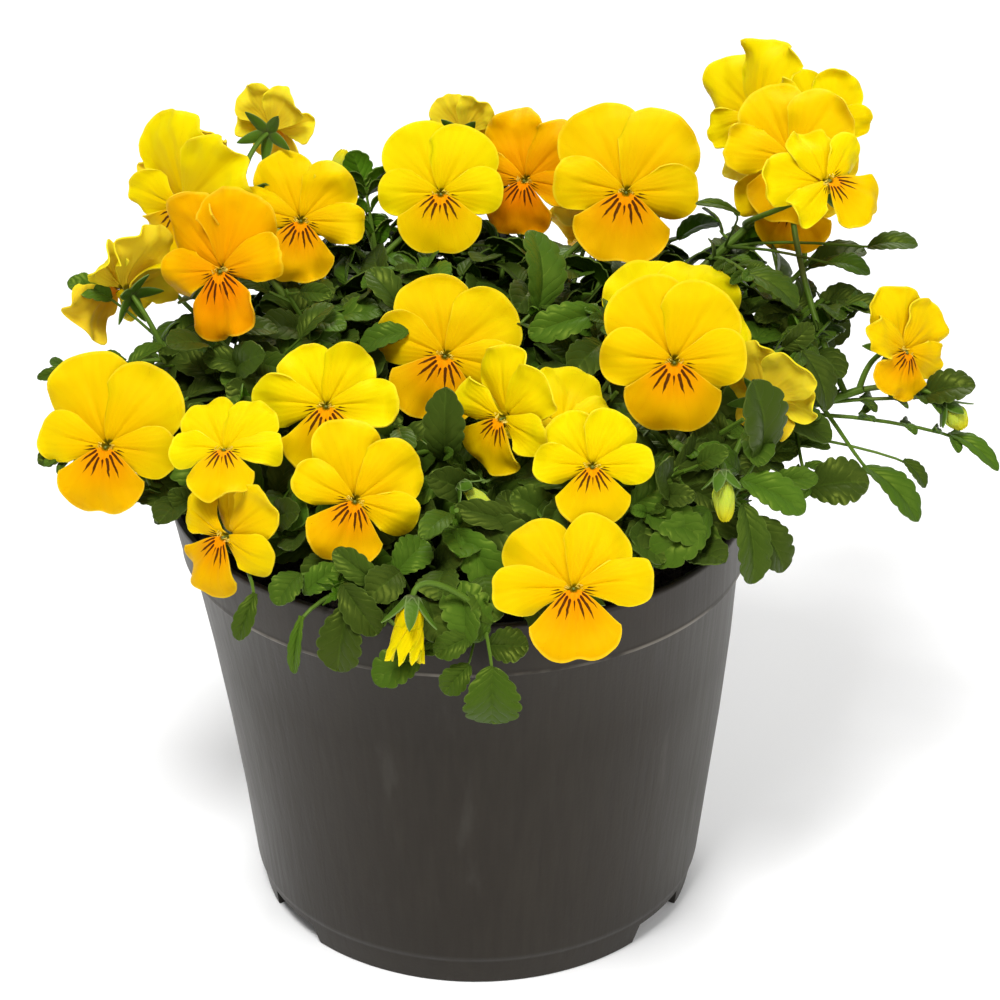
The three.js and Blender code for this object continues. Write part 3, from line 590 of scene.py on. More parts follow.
def petal_point(petal, width, full, crown, ruffle, seed, across, out):
    """A point of a petal. Petals that lie on each other share their wide waves, so they don't cross."""
    turn, span, reach, taper, layer, lean, notch, kind = petal
    length = reach * width * (crown if kind == 0 else 1)
    fan = across * (1 + 0.3 * (1 - out) ** 2)
    angle = math.radians(turn + span * full * fan)
    dip = notch * math.exp(-((across / 0.2) ** 2))
    edge = ruffle * (0.03 * noise.noise(Vector((1.7 * across, turn, 0.5)))
                     + 0.012 * noise.noise(Vector((5 * across, turn, 2.5))))
    reach = length * (1 - taper * abs(across) ** 3 - dip + edge) * out
    ripple = PETAL_RIPPLE * width * math.sin(across * 5 + turn) * out**2
    flat = Vector((-math.sin(angle) * reach, math.cos(angle) * reach, 0))
    wide = noise.noise(flat / (0.22 * width) + Vector((0, 0, 3.7 * seed)))
    small = noise.noise(flat / (0.1 * width) + Vector((0, 0, 5.3 * seed)))
    ruffled = ruffle * width * (0.12 * wide * out**3 + 0.026 * small * out**4)
    cup = 0.03 * width * math.sin(math.pi * out) * (1 - across * across)
    fold = math.exp(-((across / 0.09) ** 2))
    if kind == 2:
        fold += 0.6 * math.exp(-(((abs(across) - 0.42) / 0.07) ** 2))
    crease = -0.013 * width * fold * math.sin(math.pi * min(out * 1.1, 1))
    curl = -0.05 * ruffle * width * 0.3 * out**4 * (0.5 + 0.5 * math.sin(turn + 2 * across))
    funnel = -THROAT_FUNNEL * max(0, 1 - out / 0.2) ** 2
    return flat + Vector((0, 0, layer + lean * reach + ripple + ruffled + cup + crease + curl + funnel))


def make_bloom(name, x, y, z, turn, tilt, roll, width, tint, full, crown, ruffle):
    draw = random.Random(int(name))
    bloom = Growth()
    outs = [PETAL_FOOT + (1 - PETAL_FOOT) * r / PETAL_ROWS for r in range(PETAL_ROWS + 1)]
    for petal in PETALS:
        kind = petal[-1]
        varied = (petal[0] + draw.uniform(-3, 3), *petal[1:])
        size = width * draw.uniform(0.98, 1.02)
        rows = [[petal_point(varied, size, full, crown, ruffle, int(name), 1 - 2 * c / PETAL_COLUMNS, out)
                 for c in range(PETAL_COLUMNS + 1)] for out in outs]
        facing = -1 if kind == 1 and petal[0] > 0 else 1
        bloom.add_blade(rows, PETAL_THICKNESS, 0, kind, draw.uniform(0, 1), facing)
    stigma = [Vector((0, -0.4, height)) for height in (-3.5, -1.5, -0.4, 0.2, 0.55, 0.7)]
    bloom.add_tube(stigma, (0.4, 0.4, 0.45, 0.52, 0.36, 0.1), 8, 1)
    spur = [Vector((0, -1.4 - 0.3 * i, -1.8 - 1.15 * i)) for i in range(5)]
    bloom.add_tube(spur, (1.5, 1.4, 1.2, 0.95, 0.4), 8, 0)
    for side in (-1, 1):
        for _ in range(HAIRS):
            foot = Vector((side * draw.uniform(1.2, 2.7), draw.uniform(-0.5, 0.8), draw.uniform(-0.1, 0.3)))
            reach = Vector((-side * draw.uniform(0.4, 0.9), draw.uniform(-0.7, 0.1), draw.uniform(0.6, 1.2)))
            bloom.add_tube([foot, foot + reach], (0.12, 0.04), 3, 2)
    stands = bloom_frame(x, y, z, turn, tilt, roll)
    bloom.points = [stands @ point for point in bloom.points]
    piece = bloom.finish(f"pansy_{name}", PETAL_MATERIALS[tint], STIGMA, BEARD)
    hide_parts(f"bloom_{name}")
    return bloom


blooms = [make_bloom(*bloom) for bloom in BLOOMS]

# --- The buds ------------------------------------------------------------------------------------
# Five flowers that haven't opened: yellow petals rolled round each other in a pointed body, which
# stands in the five green sepals of its leafy stem.

# Foot and tip of the petals (x, y, z each), and their half width.
BUDS = [
    ("hanging", -16, -94, 145, -18, -98, 131, 5),
    ("low", 67, -62, 166, 68, -66, 154, 3),
    ("middle", -3, -52, 157, 6, -58, 151, 2.5),
    ("top", -42, 62, 198, -40, 64, 211, 3.5),
    ("far_right", 136, -4, 159, 141, -7, 153, 3.5),
]


def bud_frame(foot, tip):
    out = (tip - foot).normalized()
    right = (Vector((0, 1, 0)) if abs(out.z) > 0.95 else UP).cross(out).normalized()
    return Matrix.Translation(foot) @ Matrix((right, out.cross(right), out)).transposed().to_4x4()


def make_bud(name, x, y, z, tip_x, tip_y, tip_z, half):
    foot, tip = Vector((x, y, z)), Vector((tip_x, tip_y, tip_z))
    length = (tip - foot).length
    is_open = name == "hanging"
    bud = Growth()
    for petal in range(5):
        rows = []
        for r in range(15):
            along = r / 14
            shoulder = math.sqrt(max(1 - max(along - 0.42, 0) ** 2 / 0.36, 0.02))
            swell = half * min(0.42 + 1.3 * along, 1) * shoulder
            if is_open:
                swell = half * (0.42 + 0.8 * along - 0.25 * along**2)
            row = []
            for c in range(11):
                share = c / 10 - 0.5
                turn = 2 * math.pi * (petal / 5 + 0.3 * share) + 1.6 * along
                radius = swell * (1.0 - 0.22 * (share + 0.5) + 0.03 * math.sin(9 * along + petal))
                frill = (0.16 if is_open else 0.03) * along**3
                radius *= 1 + frill * math.sin(17 * share + 2 * petal)
                reach = length * along * (1 + frill * math.cos(13 * share + 3 * petal))
                row.append(Vector((radius * math.cos(turn), radius * math.sin(turn), reach)))
            rows.append(row)
        bud.add_blade(rows, 0.4, 0, 0 if is_open else 3, petal / 5)
    core = [Vector((0, 0, length * share)) for share in (0, 0.2, 0.45, 0.7, 0.9)]
    bud.add_tube(core, [half * share for share in (0.4, 0.7, 0.78, 0.6, 0.2)], 10)
    stands = bud_frame(foot, tip)
    bud.points = [stands @ point for point in bud.points]
    piece = bud.finish(f"rolled_petals_{name}", PETAL_MATERIALS["lemon"])
    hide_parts(f"bud_{name}")
    return bud


buds = [make_bud(*bud) for bud in BUDS]

# --- The leafy stems -----------------------------------------------------------------------------
# Eighteen green stems rooted in the soil. Each carries its flower stalks, with a calyx of five
# pointed sepals at the top, and its scalloped leaves on winged petioles with lobed stipules.

# Where each stands in the soil (x, y) and where its tip reaches (x, y, z).
STEMS = [
    ("front_left", -47, -20, -92, -30, 146),
    ("left", -50, 1, -90, 4, 172),
    ("upper_left", -40, 20, -62, 34, 186),
    ("top_left", -22, 32, -30, 44, 184),
    ("top_right", 8, 32, 24, 54, 182),
    ("tall_right", 32, 24, 86, 52, 196),
    ("right", 54, 2, 112, 0, 162),
    ("right_middle", 34, -6, 60, -18, 166),
    ("middle", 0, 6, -8, 0, 166),
    ("left_middle", -22, -8, -34, -30, 156),
    ("low_left", -42, -38, -66, -56, 141),
    ("front_middle", -2, -20, 16, -48, 148),
    ("back_left", -34, 46, -60, 82, 158),
    ("back_right", 24, 52, 40, 90, 156),
    ("low_right", 46, -28, 72, -55, 153),
    ("front", 6, -46, 0, -86, 139),
    ("far_right", 56, 28, 100, 56, 160),
    ("front_low", -24, -50, -36, -82, 141),
]

# Leaves: foot (x, y, z), tip (x, y, z) and width.
LEAVES = [
    (78, -45, 162, 78, -52, 187, 16), (94, -30, 145, 110, -34, 150, 15), (112, -12, 143, 128, -24, 134, 11),
    (73, -52, 156, 90, -60, 149, 11), (76, -58, 152, 86, -64, 141, 12), (73, -62, 157, 77, -72, 138, 11),
    (46, -62, 154, 62, -70, 152, 11), (64, -60, 154, 49, -74, 146, 13), (69, -38, 159, 61, -40, 168, 10),
    (129, 0, 159, 142, -6, 167, 12), (137, -4, 151, 151, -14, 148, 7), (93, -6, 177, 102, -14, 163, 11),
    (107, 12, 185, 124, 8, 185, 9), (78, 10, 194, 93, 4, 188, 11), (-8, -42, 160, -8, -46, 182, 12),
    (14, -62, 150, -4, -66, 158, 8), (-5, -64, 150, 9, -78, 138, 12), (23, -58, 149, 11, -58, 158, 11),
    (2, -88, 129, -5, -84, 144, 14), (4, -90, 129, 14, -94, 131, 10), (5, -96, 126, 5, -99, 109, 16),
    (-1, -90, 130, -10, -94, 126, 8), (-14, -88, 126, -26, -96, 122, 11), (-35, -82, 143, -26, -92, 134, 10),
    (-33, -84, 141, -37, -92, 128, 13), (-25, -80, 140, -37, -78, 148, 8), (-47, -74, 142, -53, -82, 138, 9),
    (-46, -84, 136, -49, -90, 123, 4), (-59, -76, 137, -64, -82, 126, 6), (-21, -72, 141, -13, -66, 148, 11),
    (-115, -6, 170, -125, -8, 170, 4), (-116, -24, 153, -123, -28, 153, 8), (18, 8, 183, 19, 18, 204, 16),
    (36, 0, 186, 16, -8, 184, 11), (-21, 10, 184, -30, 14, 200, 10), (-33, 52, 203, -37, 56, 214, 9),
    (-64, -8, 172, -77, -8, 177, 8), (46, -30, 160, 52, -36, 154, 10),
]

# Smaller leaves that the solids leave out.
SMALL_LEAVES = [
    (81, -48, 156, 94, -50, 159, 7), (124, -8, 143, 131, -12, 137, 6), (89, 0, 181, 98, -4, 175, 8),
    (114, 22, 197, 127, 18, 201, 8), (102, 20, 193, 114, 16, 193, 8), (-9, -46, 156, -17, -54, 154, 7),
    (-1, -92, 124, -8, -96, 118, 8), (-46, -76, 137, -37, -74, 144, 8), (-99, -12, 173, -90, -6, 180, 6),
    (-19, -4, 182, -33, -6, 179, 9), (-105, 10, 186, -116, 8, 193, 8), (73, -45, 158, 63, -50, 168, 8),
    (49, -52, 152, 56, -50, 159, 10), (-57, 44, 203, -65, 46, 207, 6), (-51, -50, 155, -43, -50, 161, 6),
    (77, 30, 204, 65, 30, 209, 4), (-50, 0, 178, -42, 6, 187, 9), (-33, 53, 201, -27, 55, 210, 7),
    (-34, 53, 200, -42, 56, 206, 6), (-33, 52, 195, -27, 50, 188, 9), (-34, 54, 192, -41, 54, 186, 9),
]
FAR_LEAVES = {"back_left": 3, "back_right": 3, "far_right": 2, "top_left": 1, "top_right": 1, "left": 1}
FAR_LEAF_LENGTH = 21
FAR_LEAF_WIDTH = 14
STEM_RADIUS = 1.6
STALK_RADIUS = 1.0
STALK_NECK = 9
STALK_DROP = 14
LEAF_THICKNESS = 0.4
LEAF_CREASE = 0.22
SCALLOP_DEPTH = 0.17
SEPAL_WAIST = 1.8
SEPAL_POSES = ((9, -0.5), (9, -0.9), (9, -1.4), (6.5, -1), (6.5, -1.8), (5, -1.4), (4, -2.2))
BUD_SEPAL = (-1.3, 2.8, 1.3)
BENDS = (0, 1, -1, 2, -2, 3, -3, 4, -4, 5, -5)
LEAF_BENDS = (0, 1, -1, 2, -2)
TWISTS = (0, 1, -1, 2, -2, 3)
FITS = 0.9
STEM_SLOT, LEAF_SLOT, SEPAL_SLOT = 0, 1, 2
LONG_PETIOLE = 24
LEAF_TURN = 137.5
STEM_SHEEN = (0.8, 0.9, 0.4, 1)
LEAF_DARK = (0.003, 0.0062, 0.0002)
LEAF_GREEN = (0.0098, 0.0215, 0.0007)
LEAF_YOUNG = (0.075, 0.2, 0.008)
LEAF_VEIN = (0.09, 0.16, 0.015)
LEAF_MARGIN = (0.12, 0.18, 0.035)
LEAF_BACK = (0.05, 0.08, 0.011)


def stem_material():
    material, tree, shader = new_material("stem_green", roughness=0.45, specular_ior_level=0.25,
                                          specular_tint=STEM_SHEEN)
    across = marks(tree)[0]
    base = blended(mottled(tree, 120), (0.04, 0.085, 0.006), (0.09, 0.165, 0.014))
    base = blended(between(abs(across), 0.6, 1) * 0.3, base, (0.12, 0.2, 0.03))
    painted(shader, blended(between(mottled(tree, 35), 0.55, 0.7) * 0.35, base, (0.12, 0.06, 0.03)))
    bumped(shader, mottled(tree, 700, (1, 1, 0.15)), 0.12)
    return material


def leaf_material():
    material, tree, shader = new_material("leaf_green", specular_ior_level=0.24,
                                          specular_tint=(0.75, 0.9, 0.12, 1))
    across, along, _, tone, under = marks(tree)
    width, patches = abs(across), mottled(tree, 70)
    base = blended(tone, blended(patches, LEAF_DARK, LEAF_GREEN), LEAF_YOUNG)
    # Side veins leave the midrib at a slant, with a quilted surface between them.
    quilt = abs(reckoned("SINE", (along * 8 - width * 1.9 + patches * 0.7) * math.pi))
    side_veins = (1 - between(quilt, 0.0, 0.16)) * (0.6 - width * 0.5)
    midrib = 1 - between(width, 0.02, 0.09)
    base = blended(reckoned("MAXIMUM", side_veins, midrib) * 0.26, base, LEAF_VEIN)
    base = blended(between(width, 0.93, 0.99) * 0.45, base, LEAF_MARGIN)
    painted(shader, blended(under * 0.5, base, LEAF_BACK))
    painted(shader, patches * 0.26 + 0.26, "Roughness")
    bumped(shader, reckoned("SQRT", quilt) * 0.6 + mottled(tree, 260) * 0.4, 0.22)
    return material


def sepal_material():
    material, tree, shader = new_material("sepal_green", roughness=0.42, specular_ior_level=0.25,
                                          specular_tint=STEM_SHEEN)
    across, along = marks(tree)[:2]
    base = blended(mottled(tree, 300), (0.035, 0.085, 0.005), (0.075, 0.155, 0.012))
    base = blended((1 - between(along, 0.05, 0.45)) * 0.7, base, (0.045, 0.02, 0.03))
    painted(shader, blended(between(abs(across), 0.75, 1) * 0.4, base, (0.25, 0.34, 0.12)))
    bumped(shader, mottled(tree, 1100), 0.15)
    return material


GREENS = (stem_material(), leaf_material(), sepal_material())


def curve_through(points):
    """A smooth line through points: centripetal, as a bent stem lies."""
    ends = [points[0] * 2 - points[1], *points, points[-1] * 2 - points[-2]]

    def place(share):
        piece = min(int(share * (len(points) - 1)), len(points) - 2)
        t = share * (len(points) - 1) - piece
        p0, p1, p2, p3 = ends[piece:piece + 4]
        d0, d1, d2 = ((b - a).length ** 0.5 for a, b in ((p0, p1), (p1, p2), (p2, p3)))
        t1 = ((p1 - p0) / d0 - (p2 - p0) / (d0 + d1) + (p2 - p1) / d1) * d1
        t2 = ((p2 - p1) / d1 - (p3 - p1) / (d1 + d2) + (p3 - p2) / d2) * d1
        return p1 + t1 * t + (p1 * -3 + p2 * 3 - t1 * 2 - t2) * t**2 + (p1 * 2 - p2 * 2 + t1 + t2) * t**3

    return place


def arc(p0, p1, p2, p3):
    def place(t):
        u = 1 - t
        return p0 * u**3 + p1 * (3 * u * u * t) + p2 * (3 * u * t * t) + p3 * t**3

    return place


def shares(count, first=0.0, last=1.0):
    return [first + (last - first) * i / count for i in range(count + 1)]


class Stem:
    """One leafy stem as it grows: its line, its free joints, and the solid that it stands for."""

    def __init__(self, name, x, y, tip_x, tip_y, tip_z):
        low, ground = Vector((x, y, SOIL_TOP - 30)), Vector((x, y, SOIL_TOP + 4))
        tip = Vector((tip_x, tip_y, tip_z))
        middle = ground.lerp(tip, 0.4) + UP * (0.22 * (tip_z - SOIL_TOP))
        self.name, self.growth = name, Growth()
        self.line = curve_through([low, ground, middle, tip])
        self.joints = []
        along = 0.5
        while along < 0.995:
            self.joints.append(self.line(along))
            along += 0.035
        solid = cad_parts[f"leafy_stem_{name}"].data
        self.skin = BVHTree.FromPolygons([v.co / MM for v in solid.vertices],
                                         [tuple(p.vertices) for p in solid.polygons])
        centres = [low] + [self.line(share) for share in shares(16, 1 / 3)]
        self.growth.add_tube(centres, [STEM_RADIUS * (1 - 0.25 * i / 17) for i in range(18)], 10, STEM_SLOT)

    def misfit(self, points):
        return max(self.skin.find_nearest(point)[3] for point in points)


stems = [Stem(*stem) for stem in STEMS]


def add_twig(growth, line, steps, radius, thinning, sides, tone, flat=1.0):
    """A green tube along a line that thins towards its end."""
    radii = [radius * (1 - thinning * share) for share in shares(steps)]
    growth.add_tube([line(share) for share in shares(steps)], radii, sides, STEM_SLOT, tone, flat)


def nearest_stems(point):
    """Each stem with its free joint that is nearest to a point, the nearest stem first."""
    found = [(min(stem.joints, key=lambda joint: (joint - point).length), stem) for stem in stems]
    return sorted(found, key=lambda pair: (pair[0] - point).length)


def grow_stalk(stands, back):
    """The flower stalk that reaches the back of a bloom, on the stem and in the bend of its solid."""
    head, behind = stands @ Vector((0, 0, back)), stands @ Vector((0, 0, back - STALK_NECK))
    best = None
    for joint, stem in nearest_stems(behind - UP * STALK_DROP)[:6]:
        across = (head - joint).cross(UP).normalized()
        for twist in TWISTS:
            for bend in BENDS:
                low = joint.lerp(behind, 0.45) + across * (5 * bend) - UP * (4 * twist)
                high = behind - UP * 3 + across * (1.5 * bend)
                line = arc(joint, low, high, head)
                miss = stem.misfit([line(1 / 3), line(2 / 3), line(0.95)])
                if best is None or miss < best[0]:
                    best = (miss, stem, joint, line)
    _, stem, joint, line = best
    stem.joints.remove(joint)
    add_twig(stem.growth, line, 12, STALK_RADIUS, 0.25, 8, 0.4)
    return stem


def sepal_tip(reach, rise, turn, back):
    return Vector((-reach * math.sin(turn), reach * math.cos(turn), back + rise * (reach - SEPAL_WAIST)))


def sepal_rows(reach, rise, turn, back):
    """One pointed sepal with a short ear behind its foot."""
    out = Vector((-math.sin(turn), math.cos(turn), 0))
    side = UP.cross(out)
    rows = []
    for share in shares(9, -0.22):
        ahead, behind = max(share, 0), min(share, 0)
        half = 1.75 * math.sin(math.pi * min(0.32 + 0.68 * ahead, 1)) ** 0.8 + 0.12 if share >= 0 else 1.2
        height = back + rise * (reach - SEPAL_WAIST) * ahead - 2.2 * behind + 0.5 * math.sin(math.pi * ahead)
        middle = out * (0.6 + (reach - 0.6) * share) + UP * height
        rows.append([middle + side * (half * across) - UP * (0.25 * half * (1 - across * across))
                     for across in (-1, -0.5, 0, 0.5, 1)])
    return rows


def grow_sepals(stem, stands, back, poses):
    """Five sepals round the back of a bloom, in the pose that their solid has."""
    turns = [math.pi * (2 * i + 1) / 5 for i in range(5)]

    def misfit(pose):
        return stem.misfit([stands @ sepal_tip(*pose, turn, back) for turn in turns])

    reach, rise = min(poses, key=misfit)
    for turn in turns:
        rows = sepal_rows(reach, rise, turn, back)
        stem.growth.add_blade([[stands @ point for point in row] for row in rows], 0.35, SEPAL_SLOT)


def leaf_half(width, along):
    """Narrow at the foot, broad and round towards the tip, and scalloped."""
    count = 5.5 if width > 10 else 4.5
    body = 1.5 * math.sqrt(along) * math.sqrt(max(1 - along**2.6, 0))
    scallop = 1 - SCALLOP_DEPTH * (1 - abs(math.sin(math.pi * count * along))) ** 1.7
    return (width / 2) * min(body, 1) * scallop


def leaf_frame(foot, tip, lift):
    axis = (tip - foot).normalized()
    outward = Vector((foot.x + tip.x, foot.y + tip.y, 0)).normalized()
    face = outward * 0.5 + Vector((0, 0.3 if foot.y > 30 else -0.45, 0.7))
    face = (face - axis * face.dot(axis)).normalized()
    face.rotate(Matrix.Rotation(lift, 3, axis))
    return axis, face, axis.cross(face)


def leaf_point(foot, tip, width, lift, along, across, least=0.0):
    axis, face, side = leaf_frame(foot, tip, lift)
    length = (tip - foot).length
    half = max(leaf_half(width, along), least)
    rise = 0.1 * length * math.sin(math.pi * along) - 0.16 * length * along**2
    rise += LEAF_CREASE * half * abs(across)
    return foot + axis * (length * along) + side * (half * across) + face * rise


def add_leaf_blade(growth, foot, tip, width, lift, tone, rows=40, columns=4):
    """A fine blade with a sunk midrib and a quilted, slightly waved surface."""
    face = leaf_frame(foot, tip, lift)[1]
    grid = []
    for r in range(rows + 1):
        along = 0.5 - 0.5 * math.cos(math.pi * r / rows)
        least = 0.7 * (1 - along) + 0.12
        row = []
        for c in range(columns, -columns - 1, -1):
            across = c / columns
            point = leaf_point(foot, tip, width, lift, along, across, least)
            wave = 0.04 * width * math.sin(7 * along + 9 * tone + across) * across * across
            puff = 0.05 * width * math.sin(math.pi * abs(across)) * math.sin(math.pi * along)
            groove = puff - 0.3 * (1 - abs(across)) ** 6 * math.sin(math.pi * along)
            row.append(point + face * (wave + groove))
        grid.append(row)
    growth.add_blade(grid, LEAF_THICKNESS, LEAF_SLOT, 0, tone)


def add_petiole(growth, root, foot, tip, breadth=0.72):
    into = foot + (tip - foot) * 0.12
    bow = UP * (0.1 * (foot - root).length - 0.8)
    line = arc(root, root.lerp(foot, 0.4) + bow, foot - (tip - foot) * 0.1, into)
    add_twig(growth, line, 6, breadth, 0.35, 6, 0.5, 0.7)
    return line


def add_stipules(growth, root, away, draw):
    """The pair of lobed stipules at a leaf's joint."""
    for side in (-1, 1):
        spread = away.copy()
        spread.rotate(Matrix.Rotation(side * draw.uniform(0.5, 1.1), 3, "Z"))
        foot = root + spread * 0.8
        tip = foot + (spread + UP * draw.uniform(0.1, 0.9)).normalized() * draw.uniform(6, 10)
        lobes = draw.choice((2, 3))
        axis, face, cross = leaf_frame(foot, tip, draw.uniform(-0.6, 0.6))
        length = (tip - foot).length
        rows = []
        for share in shares(15):
            lobe = abs(math.sin(math.pi * (lobes + 0.5) * share)) ** 0.7
            half = (0.35 + 1.9 * lobe * (1 - share) ** 0.3) * (1 - share) + 0.12
            middle = foot + axis * (length * share) + face * (-1.2 * share * share)
            rows.append([middle - cross * half, middle + face * 0.1, middle + cross * half])
        growth.add_blade(rows, 0.3, LEAF_SLOT, 0, draw.uniform(0.2, 0.6))


def add_leaflets(growth, line, draw):
    """Small leaves in pairs along a long side twig."""
    for share in (0.36, 0.56, 0.76, 0.9):
        place = line(share)
        along = (line(share + 0.05) - line(share - 0.05)).normalized()
        across = along.cross(UP).normalized()
        for side in (-1, 1):
            way = (across * side + along * draw.uniform(0.4, 1) + UP * draw.uniform(-0.3, 0.7)).normalized()
            foot = place + way * 0.9
            add_leaf_blade(growth, foot, foot + way * draw.uniform(4.5, 8.5), draw.uniform(2.6, 4.4), 0,
                           draw.uniform(0.1, 0.7), 16, 2)


def grow_leaf(foot, tip, width, draw):
    """A leaf where its solid has it, and none where the solid has none."""
    joint, stem = nearest_stems(foot)[0]
    edges = ((3 / 7, 1), (5 / 7, -1)) if width > 10 else ((0.4, 1), (0.6, -1))
    spots = ((0.5, 0), (1, 0), *edges)
    best = None
    for twist in TWISTS:
        for bend in LEAF_BENDS:
            low, high = foot + UP * (1.5 * bend), tip + UP * (3 * bend)
            lift = math.radians(14 * twist)
            miss = stem.misfit([leaf_point(low, high, width, lift, *spot) for spot in spots])
            if best is None or miss < best[0]:
                best = (miss, low, high, lift)
    miss, low, high, lift = best
    if miss > FITS:
        return
    stem.joints.remove(joint)
    line = add_petiole(stem.growth, joint, low, high)
    if (low - joint).length > LONG_PETIOLE:
        add_leaflets(stem.growth, line, draw)
    add_leaf_blade(stem.growth, low, high, width, lift, 0.8 * draw.random() ** 2)
    add_stipules(stem.growth, joint, Vector((high.x - joint.x, high.y - joint.y, 0)).normalized(), draw)


for bloom in BLOOMS:
    stands = bloom_frame(*bloom[1:7])
    stem = grow_stalk(stands, THROAT_BACK)
    grow_sepals(stem, stands, THROAT_BACK, SEPAL_POSES)
for _, *ends, half in BUDS:
    stands = bud_frame(Vector(ends[:3]), Vector(ends[3:]))
    back, flare, lean = BUD_SEPAL
    stem = grow_stalk(stands, back)
    grow_sepals(stem, stands, back, [(half + flare, lean)])

leaf_draw = random.Random(7)
for *ends, width in LEAVES:
    grow_leaf(Vector(ends[:3]), Vector(ends[3:]), width, leaf_draw)
for stem in stems:
    count = FAR_LEAVES.get(stem.name, 0)
    for i in range(count):
        place = stem.line(0.55 + 0.4 * i / count)
        turn = math.radians(LEAF_TURN * i + 70)
        away = Vector((place.x, place.y + 30, 0)).normalized()
        away.rotate(Matrix.Rotation(1.2 * math.sin(turn), 3, "Z"))
        foot = place + away * 6 + UP * 3
        grow_leaf(foot, foot + away * FAR_LEAF_LENGTH + UP * (4 * math.cos(turn)), FAR_LEAF_WIDTH, leaf_draw)
for *ends, width in SMALL_LEAVES:
    foot, tip = Vector(ends[:3]), Vector(ends[3:])
    joint, stem = nearest_stems(foot)[0]
    add_petiole(stem.growth, joint, foot, tip, 0.55)
    add_leaf_blade(stem.growth, foot, tip, width, 0, leaf_draw.uniform(0.1, 0.7), 26, 3)
for stem in stems:
    piece = stem.growth.finish(f"growth_{stem.name}", *GREENS)
    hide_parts(f"leafy_stem_{stem.name}")

# --- The young side shoots -----------------------------------------------------------------------
# Short leafy shoots that rise from the crown of the plant between the flowering stems and fill the
# bush. They are rooted in the soil, and none stands before a bloom or touches one.
SHOOT_PARTS = 8
SHOOTS_IN_PART = 27
SHOOT_RADIUS = 1.15
CROWN_HALF = (104, 82)
CROWN_MIDDLE = (3, 6)
EDGE_LEAVES = 26
CAMERA_PLACE = Vector((7.1, -754, 518.3))


def skin_of(growths):
    points, faces = [], []
    for growth in growths:
        first = len(points)
        points += growth.points
        faces += [tuple(first + corner for corner in face) for face in growth.faces]
    return BVHTree.FromPolygons(points, faces)


petal_skin = skin_of(blooms + buds)


def keeps_off(points, least=1.2):
    """Whether points keep off the petals, the soil and the pot's wall."""
    for point in points:
        if petal_skin.find_nearest(point)[3] < least or point.z < SOIL_TOP + 3:
            return False
        reach = math.hypot(point.x - RIM_SHIFT, point.y)
        if reach > 75 and point.z < POT_HEIGHT + 3 - max(reach - RIM_RADIUS - 3, 0) * 3:
            return False
    return True


def hides_bloom(points):
    return any(petal_skin.ray_cast(point, (point - CAMERA_PLACE).normalized(), 150)[0] for point in points)


def crown_height(x, y):
    """How high the blooms stand about a place."""
    pulls = [(bloom[3], 1 / ((bloom[1] - x) ** 2 + (bloom[2] - y) ** 2 + 150)) for bloom in BLOOMS]
    return sum(z * pull for z, pull in pulls) / sum(pull for z, pull in pulls)


def grow_side_leaf(growth, joint, foot, tip, width, lift, tone):
    """One leaf of a side shoot, left out where it would touch or hide a bloom."""
    seen = [leaf_point(foot, tip, width, lift, along, across)
            for along, across in ((0, 0), (0.5, 0), (0.5, 1), (0.5, -1), (0.8, 0.8), (0.8, -0.8), (1, 0))]
    if not keeps_off(seen) or hides_bloom(seen):
        return
    add_petiole(growth, joint, foot, tip, 0.6)
    add_leaf_blade(growth, foot, tip, width, lift, tone, 27, 2)


def grow_shoot(growth, turn, draw):
    reach = math.sqrt(draw.uniform(0.05, 1))
    x = CROWN_MIDDLE[0] + CROWN_HALF[0] * reach * math.cos(turn)
    y = CROWN_MIDDLE[1] + CROWN_HALF[1] * reach * math.sin(turn)
    tip = Vector((x, y, max(crown_height(x, y) - draw.uniform(8, 40), POT_HEIGHT + 4)))
    spread = min(0.6, 62 / max(math.hypot(x, y), 1))
    root = Vector((x * spread, y * spread, SOIL_TOP - 4))
    line = arc(root, root + UP * 0.6 * (tip.z - root.z), root.lerp(tip, 0.7) + UP * 8, tip)
    if not keeps_off([line(share) for share in (0.4, 0.6, 0.8, 1)], 2):
        return
    add_twig(growth, line, 8, SHOOT_RADIUS, 0.4, 6, 0.4)
    count = draw.randint(8, 11)
    spiral = draw.uniform(0, 6.28)
    for i in range(count):
        share = 0.35 + 0.65 * (i + 0.5) / count
        joint = line(share)
        spiral += math.radians(LEAF_TURN)
        away = Vector((math.cos(spiral), math.sin(spiral), 0))
        long = draw.uniform(13, 22) * (1.15 - 0.4 * share)
        foot = joint + away * draw.uniform(3, 7) + UP * draw.uniform(0, 4)
        end = foot + (away + UP * draw.uniform(-0.15, 0.9)).normalized() * long
        grow_side_leaf(growth, joint, foot, end, long * draw.uniform(0.55, 0.78),
                       math.radians(draw.uniform(-25, 25)), 0.8 * draw.random() ** 3)


shoot_draw = random.Random(2024)
for part in range(SHOOT_PARTS):
    shoots = Growth()
    for i in range(SHOOTS_IN_PART):
        grow_shoot(shoots, 2 * math.pi * (part + shoot_draw.random()) / SHOOT_PARTS, shoot_draw)
    piece = shoots.finish(f"young_shoots_{part + 1}", *GREENS)


def grow_edge():
    """Leaves that hang over the front of the rim."""
    edge, draw = Growth(), random.Random(5)
    for i in range(EDGE_LEAVES):
        turn = math.radians(-90 - 48 + 70 * (i + 0.5) / EDGE_LEAVES)
        way = Vector((math.cos(turn), math.sin(turn), 0))
        root = way * 58 + UP * (SOIL_TOP - 3)
        foot = way * draw.uniform(74, 82) + UP * draw.uniform(137, 144)
        tip = foot + way * draw.uniform(8, 14) + Vector((draw.uniform(-6, 6), 0, draw.uniform(-12, -2)))
        grow_side_leaf(edge, root, foot, tip, draw.uniform(9, 13), math.radians(draw.uniform(-20, 20)),
                       0.6 * draw.random() ** 2)
    piece = edge.finish("edge_leaves", *GREENS)


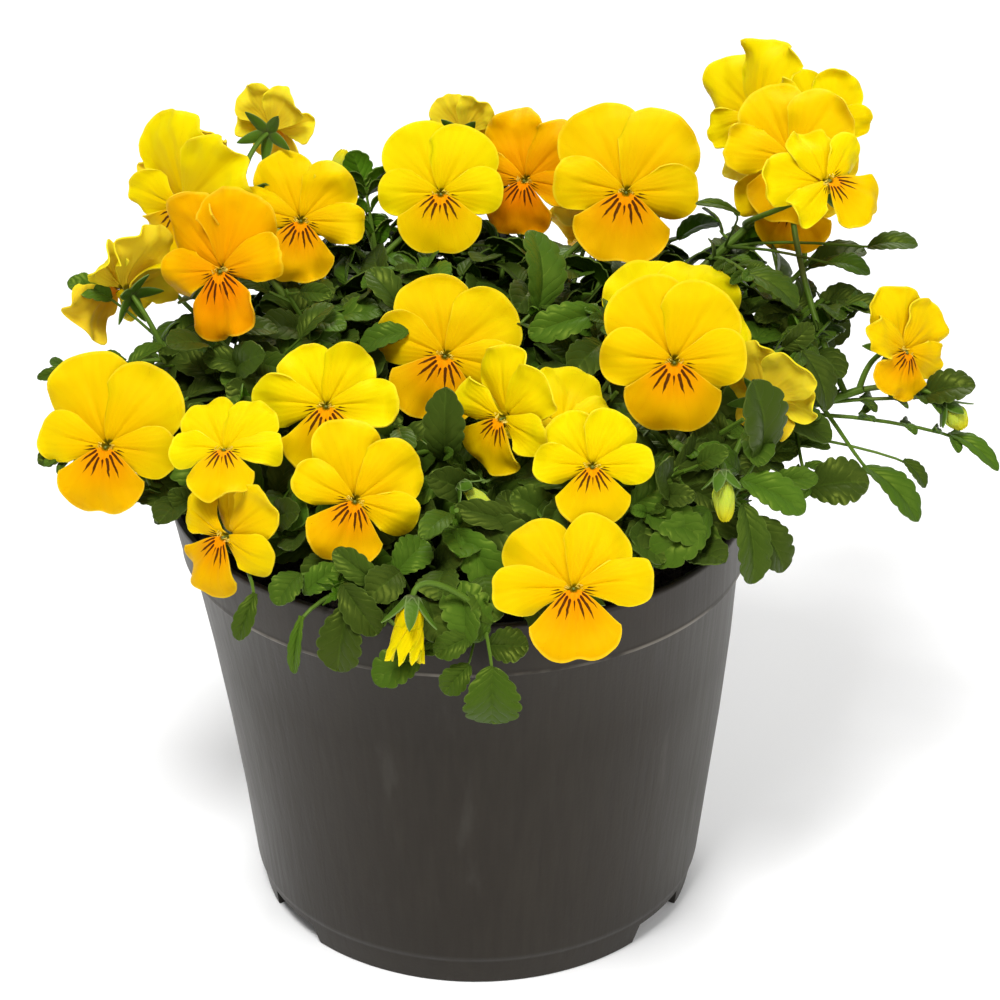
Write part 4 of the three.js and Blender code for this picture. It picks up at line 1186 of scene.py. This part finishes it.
grow_edge()

# --- Floor, light and camera ---------------------------------------------------------------------
# The pot stands on a plain pale floor in soft studio light, seen from a little above its front.
LENS = 103.68
CAMERA_AIM = Vector((7.1, 0, 125.8))
FLOOR_HALF = 3.0
FLOOR_COLOUR = (0.93, 0.93, 0.93, 1)
STUDIO_LIGHT = 0.36
# Name, place, sides and power of each lamp.
SOFTBOXES = [
    ("key", (-0.28, -0.75, 1.6), (0.45, 0.45), 27),
    ("fill", (0.9, -0.8, 0.9), (0.9, 0.9), 7),
    ("back", (0.1, 1.1, 1.2), (1.0, 0.8), 12),
]


def placed(name, data, place, way):
    """An object of the studio at its place in metres, turned to look along a way."""
    made = bpy.data.objects.new(name, data)
    made.location = place
    made.rotation_euler = way.to_track_quat("-Z", "Y").to_euler()
    bpy.context.scene.collection.objects.link(made)
    return made


def make_floor():
    material = new_material("pale_floor", roughness=0.9, base_color=FLOOR_COLOUR)[0]
    mesh = bpy.data.meshes.new("floor")
    corners = [(-1, -1), (1, -1), (1, 1), (-1, 1)]
    mesh.from_pydata([(FLOOR_HALF * x, FLOOR_HALF * y, 0) for x, y in corners], [], [(0, 1, 2, 3)])
    mesh.materials.append(material)
    floor = bpy.data.objects.new("floor", mesh)
    bpy.context.scene.collection.objects.link(floor)


make_floor()
for name, place, sides, power in SOFTBOXES:
    light = bpy.data.lights.new(name, "AREA")
    light.shape, light.size, light.size_y, light.energy = "RECTANGLE", *sides, power
    placed(name, light, place, Vector((0, 0, 0.13)) - Vector(place))
world = bpy.data.worlds.new("studio")
world.use_nodes = True
world.node_tree.nodes["Background"].inputs[0].default_value = (1, 1, 1, 1)
world.node_tree.nodes["Background"].inputs[1].default_value = STUDIO_LIGHT
bpy.context.scene.world = world

camera = bpy.data.cameras.new("camera")
camera.sensor_width, camera.lens, camera.clip_end = 36, LENS, 20
bpy.context.scene.camera = placed("camera", camera, CAMERA_PLACE * MM, CAMERA_AIM - CAMERA_PLACE)
bpy.context.scene.view_settings.view_transform = "Standard"
bpy.context.scene.view_settings.look = "None"
